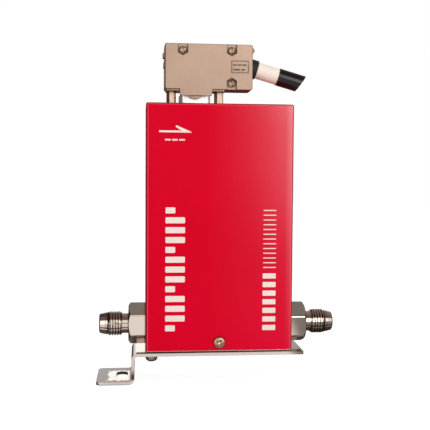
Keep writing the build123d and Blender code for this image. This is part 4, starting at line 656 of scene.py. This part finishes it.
def gland_grid(corner, hand):
    """Rows from the shank's end through the bore to the tip and back along the outside."""
    angle = facet_angles(corner)
    thread_start = NOSE_LENGTH
    thread_stop = thread_start + THREAD_LENGTH
    hex_start = thread_stop + NECK_LENGTH
    hex_stop = hex_start + HEX_LENGTH
    end = hex_stop + SHANK_LENGTH
    inside = [(end, BORE), (RECESS_DEPTH + 0.2, BORE), (RECESS_DEPTH, BORE + 0.2)]
    bead = [(RECESS_DEPTH - BEAD_SECTION * math.sin(t), BEAD - BEAD_SECTION * math.cos(t))
            for t in np.linspace(0.0, math.pi, 9)]
    mouth = [(RECESS_DEPTH, RECESS - 0.05), (0.15, RECESS), (0.0, RECESS + 0.15)]
    nose = arc((NOSE_ROUND, NOSE_TIP - NOSE_ROUND), NOSE_ROUND, 90, 8, 9)
    groove = [(3.1, 5.68), (3.2, 5.56), (3.35, 5.56), (3.45, 5.74)]
    shoulder = [(thread_start - 0.25, NOSE_ROOT), (thread_start - 0.1, NOSE_ROOT - 0.25)]
    smooth_rows = np.array(inside + bead + mouth + nose + groove + shoulder)
    rows = [(row[0], np.full(angle.size, row[1])) for row in smooth_rows]
    for step in np.linspace(0.0, THREAD_LENGTH, THREAD_ROWS):
        rows.append((thread_start + step, thread_radius(step, angle, hand)))
    neck = ((thread_stop + 0.1, NECK_RADIUS), (hex_start - 0.25, NECK_RADIUS),
            (hex_start, NECK_RADIUS + 0.25))
    for place, radius in neck:
        rows.append((place, np.full(angle.size, radius)))
    faceted = hexagon_radius(angle, corner)
    cone_low = HEX_FLATS / 2 - 0.3
    cone_high = HEX_FLATS / math.sqrt(3)
    for share in np.linspace(0.0, 1.0, 12):
        limit = cone_low + (cone_high - cone_low) * share
        rows.append((hex_start + HEX_CHAMFER * share, np.minimum(faceted, limit)))
    rows.append((hex_stop - HEX_BACK_CHAMFER, faceted))
    rows.append((hex_stop, faceted - HEX_BACK_CHAMFER))
    shank = ((hex_stop, SHANK_RADIUS), (end - SHANK_CHAMFER, SHANK_RADIUS),
             (end, SHANK_RADIUS - SHANK_CHAMFER))
    for place, radius in shank:
        rows.append((place, np.full(angle.size, radius)))
    place = np.array([row[0] for row in rows])
    radius = np.stack([row[1] for row in rows])
    return place, radius, angle


# %% Place both glands
def make_gland(name, node, inward):
    """Reads the axis, the tip and a hexagon corner off the CAD node and lays the surface there."""
    low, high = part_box(node)
    seen = np.array([v.co for v in nodes[node].data.vertices]) / MM
    axis_y = (low[1] + high[1]) / 2 / MM
    axis_z = (low[2] + high[2]) / 2 / MM
    spokes = np.hypot(seen[:, 1] - axis_y, seen[:, 2] - axis_z)
    far = seen[np.argmax(spokes)]
    corner = math.atan2(far[2] - axis_z, far[1] - axis_y)
    tip = (low[0] if inward > 0 else high[0]) / MM
    place, radius, angle = gland_grid(corner, inward)
    grid = np.stack([np.broadcast_to(tip + inward * place[:, None], radius.shape),
                     axis_y + radius * np.cos(angle)[None, :],
                     axis_z + radius * np.sin(angle)[None, :]], -1)
    points, faces = closed_grid(grid * MM, loop_rows=True)
    piece = make_piece(name, points, faces, turned_steel, "stainless")
    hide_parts(node)


make_gland("inlet_gland", "inlet_fitting", 1)
make_gland("outlet_gland", "outlet_fitting", -1)


# %% [markdown]
# ## Screws with cross recesses
# A pan head is a low dome with a cross driven into it. On polar coordinates the dome is a circle's
# arc and the recess is a depth that falls off with the distance from the nearer arm.

# %% The head's surface
HEAD_COLUMNS = 96
SIDE_SHARE = 0.38
DOME_POWER = 2.6
ARM_HALF = 0.115
ARM_FLARE = 0.12
RECESS_SHARE = 0.62


def pan_head(radius, height, span, depth, spin):
    """Heights over a disc: a dome that drops to a short side, less a cross of tapering arms."""
    angle = np.linspace(0, 2 * math.pi, HEAD_COLUMNS, endpoint=False)
    inner = np.linspace(0.02, 0.93, 34) * radius
    rim = radius * (1 - 0.07 * (1 - np.sin(np.linspace(0, math.pi / 2, 6)[1:])))
    r = np.concatenate([inner, rim])
    side = SIDE_SHARE * height
    dome = side + (height - side) * np.sqrt(np.clip(1 - (r / radius) ** DOME_POWER, 0, 1))
    rr, aa = np.meshgrid(r, angle, indexing="ij")
    u = np.abs(rr * np.cos(aa + spin))
    v = np.abs(rr * np.sin(aa + spin))
    across = np.minimum(u, v)
    out = np.maximum(u, v)
    half_arm = ARM_HALF * span + ARM_FLARE * (span / 2 - out)
    arm = np.clip((half_arm - across) / (0.05 * span) + 0.5, 0, 1)
    reach = np.clip((span / 2 - out) / (0.12 * span), 0, 1)
    cut = depth * arm * reach * (0.55 + 0.45 * np.clip(1 - out / (span / 2), 0, 1))
    top = np.broadcast_to(dome[:, None], rr.shape) - cut
    head = np.stack([rr * np.cos(aa), rr * np.sin(aa), top], -1)
    foot = np.stack([radius * np.cos(angle), radius * np.sin(angle), np.zeros(HEAD_COLUMNS)], -1)[None]
    return np.concatenate([head, foot])


def make_screws(name, node, places, facing, material, radius, height, shank, length, span):
    """One closed skin for each screw of a CAD node: head, then shank, laid at each place."""
    facing = np.array(facing, float)
    side = np.array([1.0, 0.0, 0.0])
    other = np.cross(facing, side)
    parts = []
    for count, (place, sign) in enumerate(places):
        head = pan_head(radius, height, span, RECESS_SHARE * height, 0.5 + 1.1 * count)
        ring = head[-1] / radius
        stem = ring * np.array([shank, shank, 0])
        grid = np.concatenate([head, np.stack([stem, stem - np.array([0, 0, length])])])
        out = facing * sign
        turned = grid[..., :1] * side + grid[..., 1:2] * other + grid[..., 2:] * out
        parts.append(closed_grid((turned + np.array(place)) * MM))
    points, faces = join_grids(parts)
    piece = make_piece(name, points, faces, material, "screw_steel", sharp=50.0)
    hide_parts(node)


# %% Place the screws
def split_cloud(node, axis):
    """The points of a node's screws in two clouds, split at the widest gap along an axis."""
    seen = np.array([v.co for v in nodes[node].data.vertices]) / MM
    order = np.sort(np.unique(seen[:, axis].round(3)))
    gap = np.argmax(np.diff(order))
    split = (order[gap] + order[gap + 1]) / 2
    return [seen[seen[:, axis] < split], seen[seen[:, axis] >= split]]


def middle_of(points):
    """The middle of a cloud's box."""
    return (points.min(0) + points.max(0)) / 2


BRACKET_SCREW = {"radius": 3.1, "height": 3.5, "shank": 1.5, "length": 6.0, "span": 3.6}
COVER_SCREW = {"radius": 3.0, "height": 1.7, "shank": 1.5, "length": 5.5, "span": 3.8}
HOOD_SCREW = {"radius": 1.85, "height": 1.2, "shank": 1.0, "length": 7.0, "span": 2.5}

bracket_places = []
for cloud in split_cloud("bracket_screws", 0):
    seat = cloud[:, 2].min() + BRACKET_SCREW["height"]
    bracket_places.append(((middle_of(cloud)[0], middle_of(cloud)[1], seat), 1))
make_screws("bracket_pan_screws", "bracket_screws", bracket_places, (0, 0, -1), shaded_screw_steel,
            **BRACKET_SCREW)

cover_places = []
for cloud, sign in zip(split_cloud("cover_screws", 1), (1, -1)):
    if sign > 0:
        seat = cloud[:, 1].min() + COVER_SCREW["height"]
    else:
        seat = cloud[:, 1].max() - COVER_SCREW["height"]
    cover_places.append(((middle_of(cloud)[0], seat, middle_of(cloud)[2]), sign))
make_screws("cover_pan_screws", "cover_screws", cover_places, (0, -1, 0), hood_screw, **COVER_SCREW)

left_cloud, right_cloud = split_cloud("hood_screws", 0)
is_upper = right_cloud[:, 2] > middle_of(right_cloud)[2]
hood_places = []
for cloud in (left_cloud, right_cloud[is_upper], right_cloud[~is_upper]):
    seat = cloud[:, 1].min() + HOOD_SCREW["height"]
    hood_places.append(((middle_of(cloud)[0], seat, middle_of(cloud)[2]), 1))
make_screws("hood_pan_screws", "hood_screws", hood_places, (0, -1, 0), hood_screw, **HOOD_SCREW)


# %% [markdown]
# ## The valve's spring
# The spring stands in the plunger's pocket and bears on the pole above. Its wire is a tube round a
# helix whose end turns lie closer.

# %% Helix and wire
def spring_grid(bottom, height, mean_radius, wire_radius, turns, steps):
    """A tube on a helix. The climb per turn is even but for the first and last turn, which climb less
    than half as fast; the ring round each point lies across the helix's direction."""
    t = np.linspace(0.0, turns, steps)
    climb = np.clip(np.minimum(t, turns - t) * 1.2, 0.45, 1.0)
    rise = np.concatenate([[0.0], np.cumsum((climb[1:] + climb[:-1]) / 2)])
    z = bottom + height * rise / rise[-1]
    a = 2 * math.pi * t
    centre = np.stack([mean_radius * np.cos(a), mean_radius * np.sin(a), z], -1)
    along = np.gradient(centre, axis=0)
    along /= np.linalg.norm(along, axis=1, keepdims=True)
    outward = np.stack([np.cos(a), np.sin(a), np.zeros_like(a)], -1)
    across = np.cross(along, outward)
    ring = np.linspace(0, 2 * math.pi, 12, endpoint=False)
    return (centre[:, None] + wire_radius * (np.cos(ring)[None, :, None] * outward[:, None]
                                             + np.sin(ring)[None, :, None] * across[:, None]))


WIRE = 0.25
SPRING_TURNS = 5
SPRING_STEPS = 241
spring_low, spring_high = (np.array(corner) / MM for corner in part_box("plunger_spring"))
spring_middle = (spring_low + spring_high) / 2
free_height = spring_high[2] - spring_low[2] - 2 * WIRE
mean_radius = (spring_high[1] - spring_low[1]) / 2 - WIRE
spring = spring_grid(spring_low[2] + WIRE, free_height, mean_radius, WIRE, SPRING_TURNS, SPRING_STEPS)
spring = spring + np.array([spring_middle[0], spring_middle[1], 0.0])
valve_spring = make_piece("valve_spring", *closed_grid(spring * MM), screw_steel, "soft_iron", sharp=60.0)
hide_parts("plunger_spring")
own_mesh(valve_spring)


# %% [markdown]
# ## Print
# Ink lies on the sheet as a film. Each mark is a flat convex outline, given a little thickness,
# and it starts just inside the surface so that no gap shows under it.

# %% Marks as thin prisms
FILM = 0.03
SUNK = 0.02


def rounded_bar(x0, x1, z0, z1, corner):
    """Points round a rectangle whose corners are quarter circles of a radius."""
    sweep = np.linspace(0, math.pi / 2, 5)
    outline = []
    for k, (x, z) in enumerate(((x1 - corner, z1 - corner), (x0 + corner, z1 - corner),
                                (x0 + corner, z0 + corner), (x1 - corner, z0 + corner))):
        a = sweep + k * math.pi / 2
        outline.append(np.stack([x + corner * np.cos(a), z + corner * np.sin(a)], -1))
    return np.concatenate(outline)


def make_print(name, outlines, face_y, material):
    """Each outline becomes a closed prism from just inside the face to a film's thickness outside."""
    parts = []
    for outline in outlines:
        flat = np.asarray(outline, float)
        front = np.stack([flat[:, 0], np.full(len(flat), face_y - FILM), flat[:, 1]], -1)
        back = front + np.array([0.0, FILM + SUNK, 0.0])
        parts.append(closed_grid(np.stack([back, front]) * MM))
    points, faces = join_grids(parts)
    make_piece(name, points, faces, material, None, sharp=30.0)


# %% Marks on the cover and on the hood
def scale_marks(x0, x1, start, stop, count, thick, corner, short_every=0):
    """Bars across a strip at equal steps from start to stop; every so many of them are half as long."""
    step = (stop - start - thick) / (count - 1)
    marks = []
    for k in range(count):
        right = x1 if not short_every or k % short_every else (x0 + x1) / 2
        marks.append(rounded_bar(x0, right, start + k * step, start + k * step + thick, corner))
    return marks


MARKS_LOW = 27.2
LEFT_STRIP = (27.0, 37.0)
RIGHT_STRIP = (77.3, 84.1)
FINE_STRIP = (77.5, 84.1)

cover_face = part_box("cover")[0][1] / MM
arrow = [[(23.65, 128.85), (39.95, 128.75), (33.60, 129.80), (23.65, 129.75)],
         [(31.95, 131.75), (35.00, 129.60), (39.95, 128.80), (39.95, 129.20), (32.35, 132.45)]]
dashes = [rounded_bar(x, x + 2.9, 124.7, 125.5, 0.2) for x in (26.6, 30.2, 33.8)]
cover_marks = arrow + dashes
cover_marks += scale_marks(*LEFT_STRIP, MARKS_LOW, 90.8, 13, 3.1, 0.5, short_every=4)
cover_marks += scale_marks(*RIGHT_STRIP, MARKS_LOW, 56.8, 7, 2.7, 0.3)
cover_marks += scale_marks(*FINE_STRIP, 59.6, 89.6, 13, 0.5, 0.15)
make_print("cover_print", cover_marks, cover_face, print_ink)

STAMP_FROM_EDGE = 1.8
STAMP_FROM_TOP = 8.1
STAMP_WIDTH = 9.2
STAMP_BAR = 2.1
hood_low, hood_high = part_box("hood_cover")
stamp_left = hood_high[0] / MM - STAMP_FROM_EDGE - STAMP_WIDTH
stamp_top = hood_high[2] / MM - STAMP_FROM_TOP
stamp = []
for drop, starts in ((1.5, (0.9, 3.4, 5.9)), (3.9, (0.9, 2.6, 5.2))):
    for start in starts:
        left = stamp_left + start
        top = stamp_top - drop
        stamp.append(rounded_bar(left, left + STAMP_BAR, top - 1.2, top - 0.3, 0.15))
make_print("hood_stamp", stamp, hood_low[1] / MM, stamp_ink)
print("marks:", len(cover_marks), "on the cover,", len(stamp), "on the hood")


# %% [markdown]
# ## Dress the CAD nodes
# The solids whose shape is right stay, and only their material changes.

# %% Materials by node
FINISHES = [
    (red_paint, "cover"),
    (turned_steel, "sensor_tube inlet_filter bypass_element valve_seat jackscrews fitting_seals"),
    (warm_plate, "jack_posts"),
    (block_steel, "base_block sensor_base valve_guide"),
    (bracket_steel, "bracket board_frame"),
    (screw_steel, "sensor_screws valve_screws frame_screws board_screws"),
    (screw_steel, "board_standoffs coil_nut flange_nuts"),
    (soft_iron, "valve_plunger pole_core coil_yoke"),
    (hood_cast, "hood_cover"),
    (hood_cast_shaded, "hood_shell cable_clamp"),
    (shell_plate, "receptacle_shell sensor_cover"),
    (plug_plate, "plug_shell"),
    (contact_gold, "connector_pins plug_contacts"),
    (copper_wire, "coil_winding sensor_windings"),
    (can_aluminium, "capacitors"),
    (black_moulding, "amplifier_packages board_headers receptacle_insulator plug_insulator coil_bobbin"),
    (seal_rubber, "sensor_seals plunger_seal valve_seal cable_bush"),
    (sheath_cream, "cable"),
    (tape_vinyl, "cable_tape"),
    (lead_insulation, "sensor_leads coil_leads"),
    (board_green, "circuit_board"),
    (bundle_sheath, "cable_cores"),
]
dressed = set()
for finish, names in FINISHES:
    for name in names.split():
        data = nodes[name].data
        data.materials.clear()
        data.materials.append(finish)
        dressed.add(name)
print("dressed", len(dressed), "left", sorted(set(nodes) - dressed))

# %% [markdown]
# ## Light and ground
# A pale room: camera rays see plain white, and shiny metal sees a bright band round the
# horizon with darker parts above and below, as in a light tent. Two soft panels add shape.

# %% World
SOFT_LEVEL = 0.74
MIRROR_LEVEL = 1.0
TONE = (1.0, 0.955, 0.92)
TENT_DARK = (0.035, 0.026, 0.022, 1.0)
TENT_BROWN = (0.20, 0.155, 0.125, 1.0)
BROWN_LOW = (0.14, 0.085, 0.065)
BROWN_HIGH = (0.17, 0.11, 0.085)


def ramp_of(tree, value, stops):
    """A colour ramp over a value from 0 to 1; each stop is a place and a colour or a grey level."""
    ramp = add(tree, "ValToRGB", Fac=value)
    while len(ramp.color_ramp.elements) < len(stops):
        ramp.color_ramp.elements.new(0.5)
    for element, (place, level) in zip(ramp.color_ramp.elements, stops):
        tint = level if isinstance(level, tuple) else tuple(level * t for t in TONE)
        element.position = place
        element.color = (*tint, 1.0)
    return ramp.outputs["Color"]


def angle_of(tree, up, ahead):
    """The angle of a direction in a plane, in degrees from -180 to 180."""
    turn = calc(tree, "ARCTAN2", up, ahead)
    return calc(tree, "MULTIPLY", turn, 180 / math.pi)


def window(tree, value, start, stop, soft):
    """One inside a range of degrees and zero outside it, with soft ends."""
    rise = spread(tree, value, start - soft, start + soft)
    fall = spread(tree, value, stop - soft, stop + soft, 1.0, 0.0)
    return calc(tree, "MULTIPLY", rise, fall)


def make_room():
    """A light tent round the object. Over and under the object the light depends on the angle round
    the X axis. The opening in front is dark, and so are the side behind on the left and two narrow
    strips that the faces towards the outlet mirror."""
    world = bpy.data.worlds.new("room")
    bpy.context.scene.world = world
    world.use_nodes = True
    tree = world.node_tree
    tree.nodes.clear()
    ray = add(tree, "TexCoord")
    parts = add(tree, "SeparateXYZ", Vector=ray.outputs["Generated"])
    ahead = calc(tree, "MULTIPLY", parts.outputs["Y"], -1.0)
    over = angle_of(tree, parts.outputs["Z"], ahead)
    round_about = angle_of(tree, parts.outputs["X"], ahead)
    stops = [(0.0, 0.85), (0.22, 0.30), (0.27, 0.06), (0.38, 0.90), (0.605, 0.95), (0.625, BROWN_LOW),
             (0.71, BROWN_HIGH), (0.76, 0.20), (0.90, 0.24), (0.935, 0.95), (0.95, 1.2), (0.975, 1.2),
             (1.0, 0.9)]
    band = ramp_of(tree, spread(tree, over, -180.0, 180.0), stops)
    opening = calc(tree, "MULTIPLY", window(tree, round_about, -7.0, 8.0, 4.0),
                   window(tree, over, -3.0, 9.0, 5.0))
    corner = window(tree, round_about, -166.0, -78.0, 10.0)
    dark = calc(tree, "MAXIMUM", calc(tree, "MULTIPLY", opening, 0.85), calc(tree, "MULTIPLY", corner, 0.92))
    tent = blend(tree, dark, band, TENT_DARK)
    front_strip = calc(tree, "MULTIPLY", window(tree, round_about, 11.5, 15.5, 0.8),
                       window(tree, over, -60.0, 20.0, 4.0))
    outlet = calc(tree, "MAXIMUM", front_strip, window(tree, round_about, 164.0, 172.0, 1.5))
    tent = blend(tree, calc(tree, "MULTIPLY", outlet, 0.8), tent, TENT_BROWN)
    path = add(tree, "LightPath")
    shiny = path.outputs["Is Glossy Ray"]
    seen = blend(tree, shiny, (1.0, 0.98, 0.96, 1.0), tent)
    level = spread(tree, shiny, 0.0, 1.0, SOFT_LEVEL, MIRROR_LEVEL)
    room = add(tree, "Background", Color=seen, Strength=level)
    plain = add(tree, "Background", Color=(1.0, 1.0, 1.0, 1.0), Strength=1.0)
    mix = add(tree, "MixShader", Fac=path.outputs["Is Camera Ray"])
    tree.links.new(room.outputs[0], mix.inputs[1])
    tree.links.new(plain.outputs[0], mix.inputs[2])
    add(tree, "OutputWorld", Surface=mix.outputs[0])


make_room()


# %% Lamps
LAMP_REACH = 1.3
LAMP_AIM = (0.055, 0.0, 0.09)


def panel_light(name, turn, climb, width, height, level, tint):
    """A soft rectangular lamp that faces the object's middle, at an angle to the right of the front
    and an angle up. Its power is its brightness times pi times its area."""
    data = bpy.data.lights.new(name, "AREA")
    data.shape = "RECTANGLE"
    data.size = 2 * LAMP_REACH * math.tan(math.radians(width / 2))
    data.size_y = 2 * LAMP_REACH * math.tan(math.radians(height / 2))
    data.energy = level * math.pi * data.size * data.size_y
    data.color = tint
    lamp = bpy.data.objects.new(name, data)
    a, e = math.radians(turn), math.radians(climb)
    away = LAMP_REACH * np.array([math.sin(a) * math.cos(e), -math.cos(a) * math.cos(e), math.sin(e)])
    lamp.location = tuple(np.array(LAMP_AIM) + away)
    lamp.rotation_euler = (math.pi / 2 - e, 0.0, a)
    bpy.context.scene.collection.objects.link(lamp)
    print(name, "power", round(data.energy, 2), "W")


panel_light("front_right", 23.0, 13.0, 22.0, 32.0, 3.7, (1.0, 0.985, 0.985))
panel_light("front_left", -30.0, 10.0, 26.0, 34.0, 0.8, (1.0, 0.975, 0.95))

# %% Ground
GROUND_HALF = 3.0
NEAR_STRIP_START = (0.0146, 0.0158)
NEAR_STRIP_STOP = (0.023, 0.026)
FAR_START = (0.034, 0.048)
OUTLET_FADE = (0.104, 0.110)


def make_ground():
    """A wide white floor. The camera sees it lifted to white, so that only a faint shadow stays. For shiny
    metal it carries painted light in a strip just in front of the object and further out, less towards
    the outlet side, and a painted shadow close beneath the object."""
    material = bpy.data.materials.new("ground_paper")
    material.use_nodes = True
    tree = material.node_tree
    tree.nodes.clear()
    speckle = use(tree, GRAIN, Density=(40.0, 40.0, 40.0), Detail=4.0)
    paper_tone = blend(tree, speckle, (0.74, 0.73, 0.72, 1.0), (0.78, 0.77, 0.76, 1.0))
    place = add(tree, "TexCoord")
    parts = add(tree, "SeparateXYZ", Vector=place.outputs["Object"])
    front = calc(tree, "MULTIPLY", parts.outputs["Y"], -1.0)
    # painted light for shiny metal: a strip just in front of the object and the floor further out
    near = calc(tree, "MULTIPLY", spread(tree, front, *NEAR_STRIP_START),
                spread(tree, front, *NEAR_STRIP_STOP, 1.0, 0.0))
    painted_light = calc(tree, "MAXIMUM", near, spread(tree, front, *FAR_START, 0.07, 1.0))
    painted_light = calc(tree, "MULTIPLY", painted_light, spread(tree, parts.outputs["X"], *OUTLET_FADE, 1.0, 0.25))
    path = add(tree, "LightPath")
    straight = path.outputs["Is Camera Ray"]
    shiny = path.outputs["Is Glossy Ray"]
    tone = blend(tree, straight, paper_tone, (0.26, 0.26, 0.26, 1.0))
    # painted shadow for shiny metal close beneath the object
    painted_shadow = calc(tree, "MULTIPLY", shiny, calc(tree, "SUBTRACT", 1.0, painted_light))
    tone = blend(tree, painted_shadow, tone, (0.04, 0.03, 0.026, 1.0))
    paper = add(tree, "BsdfDiffuse", Color=tone)
    # the floor glows white for the camera, and a little for shiny metal where light is painted
    glow = calc(tree, "ADD", calc(tree, "MULTIPLY", straight, 0.90),
                calc(tree, "MULTIPLY", calc(tree, "MULTIPLY", shiny, painted_light), 0.20))
    emission = add(tree, "Emission", Color=(1.0, 1.0, 1.0, 1.0), Strength=glow)
    both = add(tree, "AddShader")
    tree.links.new(paper.outputs[0], both.inputs[0])
    tree.links.new(emission.outputs[0], both.inputs[1])
    add(tree, "OutputMaterial", Surface=both.outputs[0])
    half = GROUND_HALF
    corners = [(-half, -half, 0), (half, -half, 0), (half, half, 0), (-half, half, 0)]
    mesh = bpy.data.meshes.new("ground")
    mesh.from_pydata(corners, [], [(0, 1, 2, 3)])
    mesh.materials.append(material)
    ground = bpy.data.objects.new("ground", mesh)
    bpy.context.scene.collection.objects.link(ground)


make_ground()
bpy.context.scene.view_settings.view_transform = "Standard"
